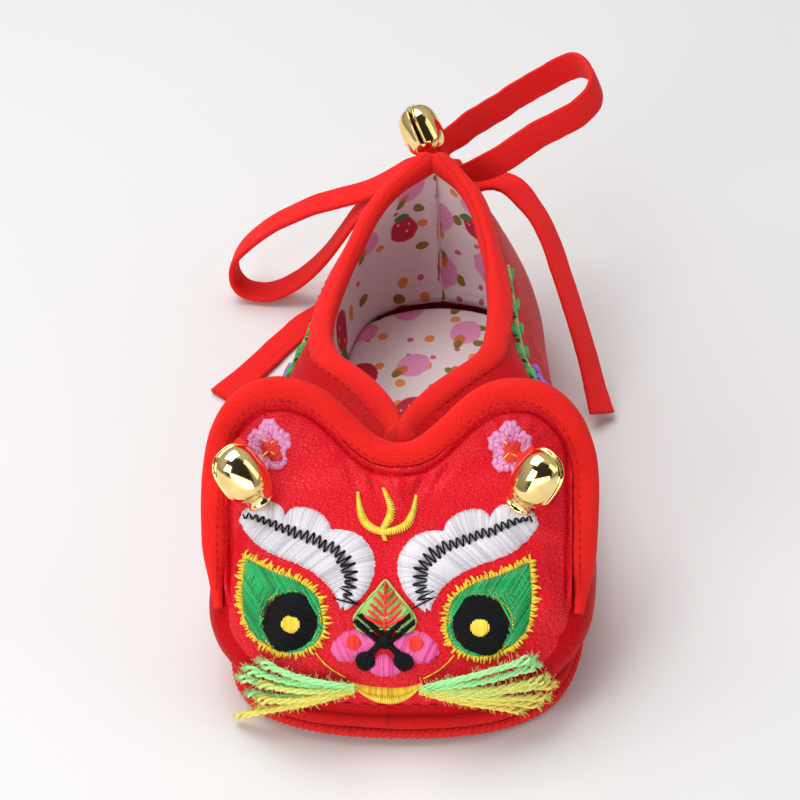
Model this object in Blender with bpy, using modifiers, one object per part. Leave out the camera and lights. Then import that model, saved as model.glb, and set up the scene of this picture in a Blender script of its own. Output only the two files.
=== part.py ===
"""A baby's cloth tiger-head shoe: pasted cloth sole, satin upper, padded tiger face, bells and heel ties.

The shoe stands on its sole at the origin. Its toe points to -Y, its heel to +Y, and +Z is up.
Tables are in millimetres and are turned into metres where a piece is made.
"""

import math

import bmesh
import bpy
import numpy as np
from mathutils import Matrix, Vector
from mathutils.bvhtree import BVHTree

MM = 0.001
GAP = 0.3  # between two pieces that touch

# Sole
SOLE_THICK = 5.0
TOE_SPRING = 1.2
TOE_SPRING_FROM = -44.0
ARCH_RISE = 0.7
ARCH_FROM, ARCH_TO = 4.0, 28.0
RABBET_DEEP, RABBET_TALL = 1.9, 2.6
CORD_RADIUS = 1.1
CORD_INSET, CORD_HEIGHT = 0.5, 1.2
INSOLE_THICK = 2.0
INSOLE_INSET = 3.9

# Upper and its binding
WALL = 2.2
FEATHER_INSET = 1.0
FOOT_TALL = 1.5  # the wall stands upright this far where it meets the sole
COLLAR_BINDING_TALL = 5.6
COLLAR_BINDING_THICK = 4.2
STEPS_PER_SECTION = 3
STEPS_UP = 9

# Tiger face: its chart lies on a plane that leans back from the toe
FACE_LEAN = math.radians(42.3)
FACE_FOOT = (0.0, -64.0, 5.0)
FACE_SHIFT = -0.8  # the face sits a little to the wearer's left of the toe
FACE_THICK = 3.0
FACE_THINNEST = 1.1
FACE_CLEAR = 0.6  # between the padding and the upper under it
FACE_COLUMNS, FACE_ROWS = 29, 15
FACE_BINDING_WIDE, FACE_BINDING_THICK = 5.0, 4.4

# Ties
TIE_WIDE, TIE_THICK = 6.6, 1.5

# One row for each section of the upper, right half, from the toe round to the heel.
# Each row climbs from the sole's edge over the widest place, the shoulder and the upper side to the rim.
SECTION_COLUMNS = ("sole", "wide", "shoulder", "side", "rim")
SECTIONS = [
    # sole x, y, z     wide x, y, z        shoulder x, y, z    side x, y, z        rim x, y, z
    ((0.0, -66.0, 0), (0.0, -63.0, 11.0), (0.0, -54.3, 20.2), (0.0, -38.2, 32.0), (0.0, -18.6, 42.0)),
    ((12.5, -65.2, 0), (12.5, -62.6, 11.2), (11.5, -53.8, 20.2), (8.4, -37.0, 32.2), (1.6, -12.6, 41.6)),
    ((22.8, -62.3, 0), (24.2, -60.6, 11.6), (22.2, -52.0, 21.0), (16.0, -33.0, 32.6), (5.2, -5.6, 40.9)),
    ((30.2, -57.0, 0), (32.8, -55.8, 12.2), (30.4, -46.4, 23.0), (22.8, -27.0, 33.0), (10.0, 0.8, 40.1)),
    ((34.5, -48.2, 0), (37.8, -47.0, 13.0), (34.8, -37.0, 24.8), (26.8, -18.5, 33.3), (14.7, 6.8, 39.3)),
    ((35.9, -34.0, 0), (38.6, -31.5, 13.5), (35.2, -24.0, 26.0), (27.2, -7.5, 33.3), (16.8, 14.0, 38.8)),
    ((34.0, -16.0, 0), (36.4, -14.0, 14.0), (33.0, -8.5, 25.5), (25.6, 5.0, 33.0), (17.0, 22.4, 38.8)),
    ((29.8, 2.0, 0), (32.2, 4.0, 14.0), (28.6, 9.0, 25.5), (22.2, 17.0, 33.4), (16.2, 30.7, 39.8)),
    ((26.6, 20.0, 0), (28.2, 22.0, 14.0), (24.8, 26.0, 26.0), (19.6, 31.0, 34.6), (15.2, 39.1, 41.3)),
    ((24.4, 38.0, 0), (25.4, 40.0, 14.0), (21.8, 42.5, 27.0), (17.2, 45.0, 36.6), (12.6, 47.8, 43.3)),
    ((21.0, 53.0, 0), (21.6, 54.8, 14.0), (18.0, 56.0, 28.0), (13.4, 56.0, 38.0), (9.0, 55.8, 45.3)),
    ((12.8, 62.0, 0), (13.3, 63.4, 14.0), (10.4, 63.8, 28.0), (7.2, 63.0, 39.0), (4.2, 61.8, 47.0)),
    ((0.0, 65.0, 0), (0.0, 66.6, 14.0), (0.0, 67.0, 28.0), (0.0, 66.5, 39.0), (0.0, 65.2, 48.2)),
]
# The toe swings a little to one side of the heel, along the shoe
SWING_Y = (-66.0, -40.0, -5.0)
SWING_X = (-1.6, -0.8, 0.0)
# How far the collar has slumped to the wearer's right foot side, along the shoe
LEAN_Y = (-40.0, -19.0, 0.0, 14.0, 22.0, 35.0, 50.0, 66.0)
LEAN_X = (0.0, -1.2, -1.4, -2.4, -2.2, -1.6, -1.0, -0.1)
LEAN_FROM_Z, LEAN_TO_Z = 4.0, 30.0

# Height of the face above its chart, along the middle, and how far its edge drops below that
FACE_MIDDLE_B = (0.8, 4.1, 8.6, 14.7, 26.8, 36.3, 44.5, 49.0, 56.0, 61.0, 67.0)
FACE_MIDDLE_H = (0.9, 3.7, 5.7, 6.5, 7.2, 6.0, 5.2, 4.4, 5.0, 6.6, 9.0)
FACE_DROP_B = (4.0, 10.0, 15.0, 20.0, 30.0, 40.0, 50.0, 60.0)
FACE_DROP_H = (20.0, 15.0, 12.5, 9.5, 5.0, 2.6, 1.2, 0.5)
FACE_HALF_WIDTH = 38.4
# Satin part of the face, right half: its top edge and its bottom edge at each distance from the middle
FACE_EDGE_A = (0.0, 4.5, 8.4, 12.0, 16.0, 20.0, 23.5, 27.1, 30.2, 32.3, 33.4)
FACE_TOP_B = (48.0, 48.6, 50.8, 54.4, 58.1, 60.3, 60.8, 60.1, 57.6, 54.1, 49.0)
FACE_BOTTOM_A = (0.0, 12.0, 20.0, 26.0, 30.0, 33.8)
FACE_BOTTOM_B = (3.2, 3.8, 6.6, 10.4, 14.4, 20.0)
# Middle of the rolled binding, right half, from the notch over the ear to the side of the toe
FACE_BINDING_PATH = [
    # a, b
    (0.0, 51.8),
    (3.9, 52.6),
    (7.9, 55.2),
    (11.8, 58.8),
    (16.0, 62.3),
    (20.4, 64.2),
    (24.6, 64.5),
    (28.8, 63.4),
    (32.6, 60.4),
    (35.3, 56.0),
    (36.7, 50.4),
    (37.0, 44.0),
    (36.9, 37.0),
    (36.6, 30.0),
    (36.2, 24.6),
    (35.8, 21.2),
]

# Ear bells on the face's chart: the neck and the pinched tip of each, a, b and height above the chart
EAR_BELLS = {
    "left": ((-26.6, 42.2, 6.4), (-34.2, 53.0, 12.8)),
    "right": ((23.8, 42.0, 6.5), (31.6, 52.4, 12.8)),
}
HEEL_BELL_NECK, HEEL_BELL_TIP = (-0.6, 71.6, 40.4), (-4.4, 76.2, 47.8)
# Turned outline of a bell, out from its axis and along it from neck to tip, in shares of its length
BELL_OUTLINE = [
    # out, along
    (0.00, 0.20),
    (0.14, 0.20),
    (0.225, 0.26),
    (0.295, 0.38),
    (0.318, 0.52),
    (0.29, 0.68),
    (0.21, 0.83),
    (0.09, 0.96),
    (0.00, 1.00),
]
BELL_TURNS = 14
BELL_LENGTH = 13.4
CAP_RADIUS, CAP_LONG = 1.5, 2.6

# Ties: route x, y, z, then the way that the ribbon's width lies x, y, z
KNOT_MIDDLE = (1.8, 71.6, 36.4)
KNOT_SIZE = (7.6, 6.0, 7.0)
TIES = {
    "tie_loop_left": [
        ((-2.6, 72.6, 38.0), (0.0, 1.0, 0.1)),
        ((-9.5, 73.3, 35.0), (0.0, 1.0, 0.1)),
        ((-16.0, 73.6, 30.6), (0.0, 1.0, 0.1)),
        ((-26.6, 74.0, 26.6), (0.0, 1.0, 0.1)),
        ((-38.0, 74.0, 21.2), (0.1, 1.0, 0.1)),
        ((-46.8, 73.6, 14.4), (0.1, 1.0, 0.1)),
        ((-51.0, 72.4, 7.8), (0.1, 1.0, 0.0)),
        ((-49.6, 71.4, 3.0), (0.1, 1.0, 0.0)),
        ((-45.1, 70.4, 1.6), (0.0, 1.0, 0.0)),
        ((-36.3, 70.2, 5.0), (0.0, 1.0, 0.1)),
        ((-28.9, 70.8, 11.8), (0.0, 1.0, 0.1)),
        ((-22.9, 71.2, 20.2), (0.0, 1.0, 0.1)),
        ((-18.2, 71.4, 26.4), (0.0, 1.0, 0.1)),
        ((-12.5, 71.4, 30.4), (0.0, 1.0, 0.1)),
        ((-7.0, 71.4, 32.8), (0.0, 1.0, 0.1)),
        ((-2.6, 71.4, 34.6), (0.0, 1.0, 0.1)),
    ],
    "tie_loop_right": [
        ((1.3, 77.4, 39.9), (-0.35, 0.16, 0.92)),
        ((3.6, 80.2, 40.6), (-0.35, 0.16, 0.92)),
        ((6.8, 83.9, 41.1), (-0.35, 0.16, 0.92)),
        ((13.8, 89.9, 42.2), (-0.35, 0.16, 0.92)),
        ((19.5, 93.7, 44.0), (-0.35, 0.16, 0.92)),
        ((25.8, 95.3, 47.1), (-0.35, 0.16, 0.92)),
        ((31.4, 93.1, 51.3), (-0.35, 0.16, 0.92)),
        ((34.7, 87.5, 53.3), (-0.35, 0.16, 0.92)),
        ((36.2, 82.1, 53.4), (-0.35, 0.16, 0.92)),
        ((35.0, 77.0, 52.4), (-0.35, 0.16, 0.92)),
        ((30.3, 73.1, 50.5), (-0.35, 0.16, 0.92)),
        ((24.5, 71.1, 48.5), (-0.35, 0.16, 0.92)),
        ((16.8, 69.6, 43.4), (-0.35, 0.16, 0.92)),
        ((11.0, 70.0, 39.2), (-0.35, 0.16, 0.92)),
        ((7.5, 71.0, 37.2), (-0.35, 0.16, 0.92)),
    ],
    "tie_tail_left": [
        ((0.4, 71.4, 32.1), (0.2, -1.0, 0.0)),
        ((-4.0, 71.2, 23.0), (0.2, -1.0, 0.0)),
        ((-12.0, 70.0, 11.5), (0.3, -0.9, 0.0)),
        ((-21.5, 67.0, 3.8), (0.6, -0.8, 0.0)),
        ((-31.4, 61.0, 1.1), (0.8, -0.6, 0.0)),
        ((-40.9, 46.5, 1.0), (0.83, -0.55, 0.0)),
        ((-49.6, 33.8, 1.0), (0.83, -0.55, 0.0)),
    ],
    "tie_tail_right": [
        ((6.2, 72.6, 31.8), (0.0, 1.0, 0.0)),
        ((10.0, 74.0, 32.0), (0.2, 1.0, 0.0)),
        ((15.2, 73.4, 32.4), (0.6, 0.8, 0.0)),
        ((19.5, 68.6, 32.0), (0.75, 0.6, -0.2)),
        ((23.8, 62.3, 30.0), (0.66, 0.6, -0.45)),
        ((27.8, 54.0, 25.0), (0.62, 0.6, -0.52)),
        ((31.1, 45.5, 19.4), (0.62, 0.58, -0.55)),
        ((34.1, 38.4, 13.0), (0.62, 0.58, -0.55)),
        ((36.4, 32.4, 6.8), (0.64, 0.5, -0.5)),
        ((38.2, 26.9, 3.0), (0.72, 0.4, -0.35)),
    ],
}

# Whiskers: the mouth's end that each bunch leaves, and where its yarns stop, x, y, z
WHISKERS = {
    "left": (
        (-8.2, -64.9, 14.9),
        [(-26.2, -61.0, 17.0), (-31.3, -59.8, 11.2), (-28.9, -61.4, 7.4), (-32.3, -62.4, 1.9)],
    ),
    "right": (
        (4.6, -65.0, 14.9),
        [(26.0, -59.8, 17.6), (28.4, -60.4, 12.0), (27.6, -61.2, 8.8), (24.3, -62.4, 6.6)],
    ),
}
WHISKER_SPREAD = 1.5
WHISKER_BOW = (0.0, -2.2, 1.0)
WHISKER_RADIUS = 0.8


def clear_scene():
    for thing in list(bpy.data.objects):
        bpy.data.objects.remove(thing)


def material(name, colour, roughness, metallic=0.0):
    made = bpy.data.materials.new(name)
    made.use_nodes = True
    shader = made.node_tree.nodes["Principled BSDF"]
    shader.inputs["Base Color"].default_value = (*colour, 1.0)
    shader.inputs["Roughness"].default_value = roughness
    shader.inputs["Metallic"].default_value = metallic
    return made


def add_object(name, mesh, made_of, collection):
    thing = bpy.data.objects.new(name, mesh)
    mesh.materials.append(made_of)
    mesh.shade_smooth()
    mesh.set_sharp_from_angle(angle=math.radians(40))
    collection.objects.link(thing)
    return thing


def mesh_of(name, points, faces):
    """A mesh from points in millimetres, with its faces turned outwards."""
    mesh = bpy.data.meshes.new(name)
    mesh.from_pydata([Vector(p) * MM for p in points], [], faces)
    shape = bmesh.new()
    shape.from_mesh(mesh)
    bmesh.ops.recalc_face_normals(shape, faces=shape.faces)
    shape.to_mesh(mesh)
    shape.free()
    return mesh


def spline(stations, values, at, closed_period=None):
    """A cubic spline through values at the stations: natural ends, or closed with the given period."""
    stations, values = np.array(stations, float), np.array(values, float)
    at = np.array(at, float)
    if closed_period is not None:
        stations = np.append(stations, stations[0] + closed_period)
        values = np.concatenate([values, values[:1]])
        at = stations[0] + (at - stations[0]) % closed_period
    steps = np.diff(stations)
    slopes = np.diff(values, axis=0) / steps.reshape(-1, *[1] * (values.ndim - 1))
    count = len(stations)
    matrix, right = np.zeros((count, count)), np.zeros_like(values)
    for i in range(1, count - 1):
        matrix[i, i - 1 : i + 2] = steps[i - 1], 2 * (steps[i - 1] + steps[i]), steps[i]
        right[i] = 6 * (slopes[i] - slopes[i - 1])
    if closed_period is None:
        matrix[0, 0] = matrix[-1, -1] = 1
    else:
        matrix[0, 0], matrix[0, -1] = 1, -1
        matrix[-1, 0], matrix[-1, 1] = 2 * steps[0], steps[0]
        matrix[-1, -2], matrix[-1, -1] = steps[-1], 2 * steps[-1]
        right[-1] = 6 * (slopes[0] - slopes[-1])
    bends = np.linalg.solve(matrix, right)
    i = np.clip(np.searchsorted(stations, at, side="right") - 1, 0, count - 2)
    shape = (-1, *[1] * (values.ndim - 1))
    h, t = steps[i].reshape(shape), (at - stations[i]).reshape(shape)
    return (
        values[i]
        + t * (slopes[i] - h * (2 * bends[i] + bends[i + 1]) / 6)
        + t**2 * bends[i] / 2
        + t**3 * (bends[i + 1] - bends[i]) / (6 * h)
    )


def along(points):
    """The distance of each point along the line that they make."""
    return np.concatenate([[0], np.cumsum(np.linalg.norm(np.diff(points, axis=0), axis=1))])


def unit(vectors):
    return vectors / np.linalg.norm(vectors, axis=-1, keepdims=True)


def tube(name, line, radius, closed):
    """A round tube along a line."""
    curve = bpy.data.curves.new(name, "CURVE")
    curve.dimensions = "3D"
    curve.bevel_depth = radius * MM
    curve.bevel_resolution = 1
    curve.use_fill_caps = not closed
    path = curve.splines.new("POLY")
    path.points.add(len(line) - 1)
    path.use_cyclic_u = closed
    for point, place in zip(path.points, line):
        point.co = (*(place * MM), 1.0)
    return bpy.data.objects.new(name, curve)


def welded(curve):
    """The curve as a mesh with its end caps joined on. The curve is removed."""
    name = curve.name
    bpy.context.scene.collection.objects.link(curve)
    made = bpy.data.meshes.new_from_object(curve.evaluated_get(bpy.context.evaluated_depsgraph_get()))
    bpy.data.objects.remove(curve)
    shape = bmesh.new()
    shape.from_mesh(made)
    bmesh.ops.remove_doubles(shape, verts=shape.verts, dist=0.01 * MM)
    shape.to_mesh(made)
    shape.free()
    return bpy.data.objects.new(name, made)


# Sole


def toe_lift(y):
    """How far the toe is sprung off the floor at this place along the shoe."""
    share = np.clip((TOE_SPRING_FROM - y) / (TOE_SPRING_FROM - SECTIONS[0][0][1]), 0, 1)
    return TOE_SPRING * share**2


def arch_lift(y):
    share = np.clip((y - ARCH_FROM) / (ARCH_TO - ARCH_FROM), 0, 1)
    return ARCH_RISE * np.sin(math.pi * share) ** 2


def around(column):
    """The closed line through one column of the section table, toe first and right side first."""
    half = [row[SECTION_COLUMNS.index(column)] for row in SECTIONS]
    mirrored = [(-x, y, z) for x, y, z in half[-2:0:-1]]
    count = 2 * (len(SECTIONS) - 1)
    at = np.arange(count * STEPS_PER_SECTION) / STEPS_PER_SECTION
    line = spline(range(count), half + mirrored, at, closed_period=count)
    line[:, 0] += np.interp(line[:, 1], SWING_Y, SWING_X)
    return line


def inset_line(line, inset):
    """A closed line moved inwards, level with itself."""
    ahead = np.roll(line, -1, axis=0) - np.roll(line, 1, axis=0)
    inwards = unit(np.stack([-ahead[:, 1], ahead[:, 0], 0 * ahead[:, 0]], axis=1))
    return line + inset * inwards


def strips_across(first, count):
    """Faces that close a ring of points straight across from its right side to its left."""
    half = count // 2
    faces = [(first, first + 1, first + count - 1), (first + half - 1, first + half, first + half + 1)]
    for i in range(1, half - 1):
        faces.append((first + i, first + i + 1, first + count - i - 1, first + count - i))
    return faces


def slab(name, rings):
    """A solid from level rings, bottom ring first, closed across at both ends."""
    count, points = len(rings[0]), np.concatenate(rings)
    faces = strips_across(0, count) + strips_across((len(rings) - 1) * count, count)
    for k in range(len(rings) - 1):
        for i in range(count):
            j = (i + 1) % count
            faces.append((k * count + i, k * count + j, (k + 1) * count + j, (k + 1) * count + i))
    return mesh_of(name, points, faces)


def sole_ring(inset, height, arched):
    ring = inset_line(around("sole"), inset)
    ring[:, 2] = height + toe_lift(ring[:, 1]) + (arch_lift(ring[:, 1]) if arched else 0)
    return ring


def make_outsole(collection):
    cloth = material("red sole cloth", (0.62, 0.02, 0.02), 0.75)
    rings = [
        sole_ring(RABBET_DEEP, 0.0, True),
        sole_ring(RABBET_DEEP, RABBET_TALL, False),
        sole_ring(0.0, RABBET_TALL + 0.1, False),
        sole_ring(0.0, SOLE_THICK - 0.5, False),
        sole_ring(0.5, SOLE_THICK, False),
    ]
    add_object("outsole", slab("outsole", rings), cloth, collection)


def make_sole_edge_cord(collection):
    cord = tube("sole_edge_cord", sole_ring(CORD_INSET, CORD_HEIGHT, False), CORD_RADIUS, True)
    cord.data.materials.append(material("red cord", (0.62, 0.02, 0.02), 0.6))
    collection.objects.link(cord)


def make_insole(collection):
    cotton = material("printed cotton", (0.85, 0.75, 0.76), 0.85)
    low = SOLE_THICK + GAP
    rings = [
        sole_ring(INSOLE_INSET, low, False),
        sole_ring(INSOLE_INSET, low + INSOLE_THICK * 0.7, False),
        sole_ring(INSOLE_INSET + 1.0, low + INSOLE_THICK, False),
    ]
    add_object("insole", slab("insole", rings), cotton, collection)


# Sweeps


def ring_sweep(name, line, half_wide, half_thick, sides, wide_ways=None):
    """A tube along a closed line. Its wide way is up, or the way given for each point."""
    count = len(line)
    ahead = unit(np.roll(line, -1, axis=0) - np.roll(line, 1, axis=0))
    wide = np.tile([0.0, 0.0, 1.0], (count, 1)) if wide_ways is None else wide_ways
    thick = unit(np.cross(ahead, wide))
    wide = np.cross(thick, ahead)
    points, faces = [], []
    for i in range(count):
        for k in range(sides):
            turn = 2 * math.pi * (k + 0.5) / sides
            points.append(
                line[i] + half_wide * math.cos(turn) * wide[i] + half_thick * math.sin(turn) * thick[i]
            )
    for i in range(count):
        for k in range(sides):
            a, b = i * sides, (i + 1) % count * sides
            m = (k + 1) % sides
            faces.append((a + k, b + k, b + m, a + m))
    return mesh_of(name, points, faces)


def open_sweep(name, line, wide_ways, section):
    """A solid along an open line: section gives (wide, thick) corners, the same at every point."""
    ahead = np.gradient(line, axis=0)
    ahead = unit(ahead)
    thick = unit(np.cross(ahead, wide_ways))
    wide = np.cross(thick, ahead)
    sides, count = len(section), len(line)
    points = [line[i] + w * wide[i] + t * thick[i] for i in range(count) for w, t in section]
    faces = [tuple(range(sides)), tuple(range((count - 1) * sides, count * sides))]
    for i in range(count - 1):
        for k in range(sides):
            a, b, m = i * sides, (i + 1) * sides, (k + 1) % sides
            faces.append((a + k, b + k, b + m, a + m))
    return mesh_of(name, points, faces)


# Upper


def leaned(points):
    """The points with the collar's slump to one side, which grows with height."""
    height = np.clip((points[:, 2] - LEAN_FROM_Z) / (LEAN_TO_Z - LEAN_FROM_Z), 0, 1)
    moved = points.copy()
    moved[:, 0] += np.interp(points[:, 1], LEAN_Y, LEAN_X) * height**2 * (3 - 2 * height)
    return moved


def feather_line():
    """The line where the upper's outside meets the sole."""
    line = inset_line(around("sole"), FEATHER_INSET)
    line[:, 2] = SOLE_THICK + GAP + toe_lift(line[:, 1])
    return line


def meridians():
    """Each line of the upper's outer surface from just above the sole up to the rim, closely spaced."""
    columns = [feather_line() + [0, 0, FOOT_TALL]] + [around(name) for name in SECTION_COLUMNS[1:]]
    lines = []
    for knots in np.stack(columns, axis=1):
        stations = along(knots)
        lines.append(leaned(spline(stations, knots, np.linspace(0, stations[-1], 60))))
    return lines


def to_rim(points, rim):
    """How far each point is from the closed line of the rim."""
    starts, ways = rim[None], (np.roll(rim, -1, axis=0) - rim)[None]
    share = ((points[:, None] - starts) * ways).sum(2) / (ways**2).sum(2)
    nearest = starts + np.clip(share, 0, 1)[..., None] * ways
    return np.linalg.norm(points[:, None] - nearest, axis=2).min(axis=1)


def split_line(line, rim, short, count):
    """Points spaced evenly up a line that stops this short of the rim."""
    stations, left = along(line), to_rim(line, rim)
    k = np.flatnonzero(left > short)[-1]
    end = stations[k] + (stations[k + 1] - stations[k]) * (left[k] - short) / (left[k] - left[k + 1])
    at = np.linspace(0, end, count)
    return np.stack([np.interp(at, stations, line[:, k]) for k in range(3)], axis=1)


def make_upper(collection, lines):
    satin = material("red satin", (0.6, 0.01, 0.02), 0.4)
    rim = np.stack([line[-1] for line in lines])
    rows = np.stack([split_line(line, rim, COLLAR_BINDING_TALL + 3 * GAP, STEPS_UP) for line in lines])
    rows = np.concatenate([feather_line()[:, None], rows], axis=1)
    count, tall = rows.shape[:2]
    faces = []
    for i in range(count):
        for k in range(tall - 1):
            a, b = i * tall + k, (i + 1) % count * tall + k
            faces.append((a, b, b + 1, a + 1))
    mesh = mesh_of("upper", rows.reshape(-1, 3), faces)
    upper = add_object("upper", mesh, satin, collection)
    wall = upper.modifiers.new("wall", "SOLIDIFY")
    wall.thickness = WALL * MM
    wall.offset = -1
    wall.use_even_offset = True
    return upper


def make_collar_binding(collection, lines):
    cotton = material("red bias binding", (0.8, 0.03, 0.02), 0.7)
    tops = np.stack([line[-1] for line in lines])
    ways = np.stack([line[-1] - line[-4] for line in lines])
    ahead = unit(np.roll(tops, -1, axis=0) - np.roll(tops, 1, axis=0))
    inwards = unit(np.cross(ways, ahead))
    ways = unit(np.cross(ahead, inwards))
    middle = tops - COLLAR_BINDING_TALL / 2 * ways + WALL / 2 * inwards
    half_tall = COLLAR_BINDING_TALL / 2 / math.cos(math.pi / 8)
    mesh = ring_sweep("collar_binding", middle, half_tall, COLLAR_BINDING_THICK / 2, 8, ways)
    add_object("collar_binding", mesh, cotton, collection)


# Tiger face

LEAN_COS, LEAN_SIN = math.cos(FACE_LEAN), math.sin(FACE_LEAN)
UP_THE_FACE = np.array([0.0, LEAN_COS, LEAN_SIN])
OUT_OF_FACE = np.array([0.0, -LEAN_SIN, LEAN_COS])


def on_chart(a, b, height):
    """The place that is a across and b up the face's chart, at this height above it."""
    foot = np.array(FACE_FOOT) + [FACE_SHIFT, 0, 0]
    return foot + np.array([1.0, 0, 0]) * a + UP_THE_FACE * b + OUT_OF_FACE * height


def face_height(a, b):
    """Height of the face's satin above the chart."""
    middle = float(spline(FACE_MIDDLE_B, FACE_MIDDLE_H, [b])[0])
    drop = np.interp(b, FACE_DROP_B, FACE_DROP_H)
    return middle - drop * (abs(a) / FACE_HALF_WIDTH) ** 4


def vamp_tree(upper):
    """The upper's outer surface, for laying the face on it."""
    points = [v.co / MM for v in upper.data.vertices]
    return BVHTree.FromPolygons(points, [tuple(f.vertices) for f in upper.data.polygons])


def vamp_height(tree, a, b):
    """Greatest height of the upper above the chart close to this place, or far below past its edge."""
    top, heights = 60.0, [-60.0]
    for da, db in [(0, 0)] + [(math.cos(t), math.sin(t)) for t in np.linspace(0, 2 * math.pi, 7)[:-1]]:
        hit = tree.ray_cast(Vector(on_chart(a + da, b + db, top)), Vector(-OUT_OF_FACE))
        if hit[0] is not None:
            heights.append(top - hit[3])
    return max(heights)


def make_face_panel(collection, tree):
    satin = material("padded red satin", (0.66, 0.015, 0.03), 0.4)
    reach = FACE_EDGE_A[-1]
    half = np.sin(np.linspace(0, math.pi / 2, FACE_COLUMNS // 2 + 1)) * reach
    across = np.concatenate([-half[:0:-1], half])
    tops, unders = [], []
    for a in across:
        low = np.interp(abs(a), FACE_BOTTOM_A, FACE_BOTTOM_B)
        high = float(spline(FACE_EDGE_A, FACE_TOP_B, [abs(a)])[0])
        for b in np.linspace(low, high, FACE_ROWS):
            vamp = vamp_height(tree, a, b)
            top = max(face_height(a, b), vamp + FACE_CLEAR + FACE_THINNEST)
            tops.append(on_chart(a, b, top))
            unders.append(on_chart(a, b, max(top - FACE_THICK, vamp + FACE_CLEAR)))
    count, faces = len(tops), []
    grid = [(i, k) for i in range(FACE_COLUMNS - 1) for k in range(FACE_ROWS - 1)]
    for i, k in grid:
        p, q = i * FACE_ROWS + k, (i + 1) * FACE_ROWS + k
        faces += [(p, q, q + 1, p + 1), (p + count, p + 1 + count, q + 1 + count, q + count)]
    edge = [i * FACE_ROWS for i in range(FACE_COLUMNS)]
    edge += [(FACE_COLUMNS - 1) * FACE_ROWS + k for k in range(1, FACE_ROWS)]
    edge += [i * FACE_ROWS + FACE_ROWS - 1 for i in range(FACE_COLUMNS - 2, -1, -1)]
    edge += list(range(FACE_ROWS - 2, 0, -1))
    for p, q in zip(edge, edge[1:] + edge[:1]):
        faces.append((p, p + count, q + count, q))
    add_object("face_panel", mesh_of("face_panel", tops + unders, faces), satin, collection)


def make_face_binding(collection, tree):
    cotton = material("red rolled binding", (0.82, 0.03, 0.02), 0.7)
    half = np.array(FACE_BINDING_PATH, float)
    path = np.concatenate([half[:0:-1] * [-1, 1], half])
    stations = along(path)
    fine = spline(stations, path, np.linspace(0, stations[-1], 59))
    line, ways = [], []
    outwards = unit(np.gradient(fine, axis=0))[:, ::-1] * [-1, 1]
    for (a, b), (out_a, out_b) in zip(fine, outwards):
        vamp = max(vamp_height(tree, a + d * out_a, b + d * out_b) for d in (-2.0, 0.0, 2.0))
        height = max(face_height(a, b) - FACE_THICK / 2, vamp + GAP + FACE_BINDING_THICK / 2)
        line.append(on_chart(a, b, height))
        beside = on_chart(a + out_a, b + out_b, face_height(a + out_a, b + out_b))
        ways.append(beside - on_chart(a, b, face_height(a, b)))
    corners = [2 * math.pi * (k + 0.5) / 8 for k in range(8)]
    section = [(FACE_BINDING_WIDE / 2 * math.cos(t), FACE_BINDING_THICK / 2 * math.sin(t)) for t in corners]
    mesh = open_sweep("face_binding", np.array(line), np.array(ways), section)
    add_object("face_binding", mesh, cotton, collection)


# Bells


def make_bell(name, neck, tip, collection, gold):
    """A claw bell turned about the line from its neck to its pinched tip."""
    mesh = bpy.data.meshes.new(name)
    points = [Vector((out * BELL_LENGTH, 0, -share * BELL_LENGTH)) * MM for out, share in BELL_OUTLINE]
    mesh.from_pydata(points, [(i, i + 1) for i in range(len(points) - 1)], [])
    bell = add_object(name, mesh, gold, collection)
    turn = bell.modifiers.new("turn", "SCREW")
    turn.steps = turn.render_steps = BELL_TURNS
    turn.use_merge_vertices = True
    turn.merge_threshold = 0.00005
    way = Vector(tip) - Vector(neck)
    bell.rotation_euler = (-way).to_track_quat("Z", "Y").to_euler()
    bell.location = Vector(neck) * MM
    return bell


def make_bells(collection):
    gold = material("gilt bell", (0.86, 0.66, 0.22), 0.18, 1.0)
    for side, (neck, tip) in EAR_BELLS.items():
        start, end = on_chart(*neck), on_chart(*tip)
        make_bell(f"ear_bell_{side}", start, end, collection, gold)
        bpy.ops.mesh.primitive_cone_add(
            vertices=10, radius1=CAP_RADIUS * MM, radius2=CAP_RADIUS * 0.55 * MM, depth=CAP_LONG * MM
        )
        cap = bpy.context.object
        cap.name = f"ear_bell_cap_{side}"
        cap.data.materials.append(gold)
        way = Vector(end - start).normalized()
        cap.rotation_euler = (-way).to_track_quat("Z", "Y").to_euler()
        cap.location = (Vector(start) + way * (0.2 * BELL_LENGTH - GAP - CAP_LONG / 2)) * MM
        for holder in cap.users_collection:
            holder.objects.unlink(cap)
        collection.objects.link(cap)
    make_bell("heel_bell", HEEL_BELL_NECK, HEEL_BELL_TIP, collection, gold)


# Whiskers


def make_whiskers(collection, cutters):
    yarn = material("whisker yarn", (0.62, 0.85, 0.35), 0.9)
    for side, (start, stops) in WHISKERS.items():
        yarns = []
        for i, stop in enumerate(stops):
            root = np.array(start) + [0, 0, WHISKER_SPREAD * (1.5 - i) / 2]
            bow = np.array(start) * 0.4 + np.array(stop) * 0.6 + WHISKER_BOW
            line = spline([0, 0.6, 1], [root, bow, stop], np.linspace(0, 1, 7))
            yarns.append(welded(tube(f"yarn_{side}_{i}", line, WHISKER_RADIUS, False)))
        tuft = add_object(f"whisker_tuft_{side}", yarns[0].data, yarn, collection)
        for other in yarns[1:]:
            cutters.objects.link(other)
            other.hide_render = True
            other.display_type = "WIRE"
            join = tuft.modifiers.new(other.name, "BOOLEAN")
            join.operation = "UNION"
            join.object = other
        bpy.data.objects.remove(yarns[0])


# Ties


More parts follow.
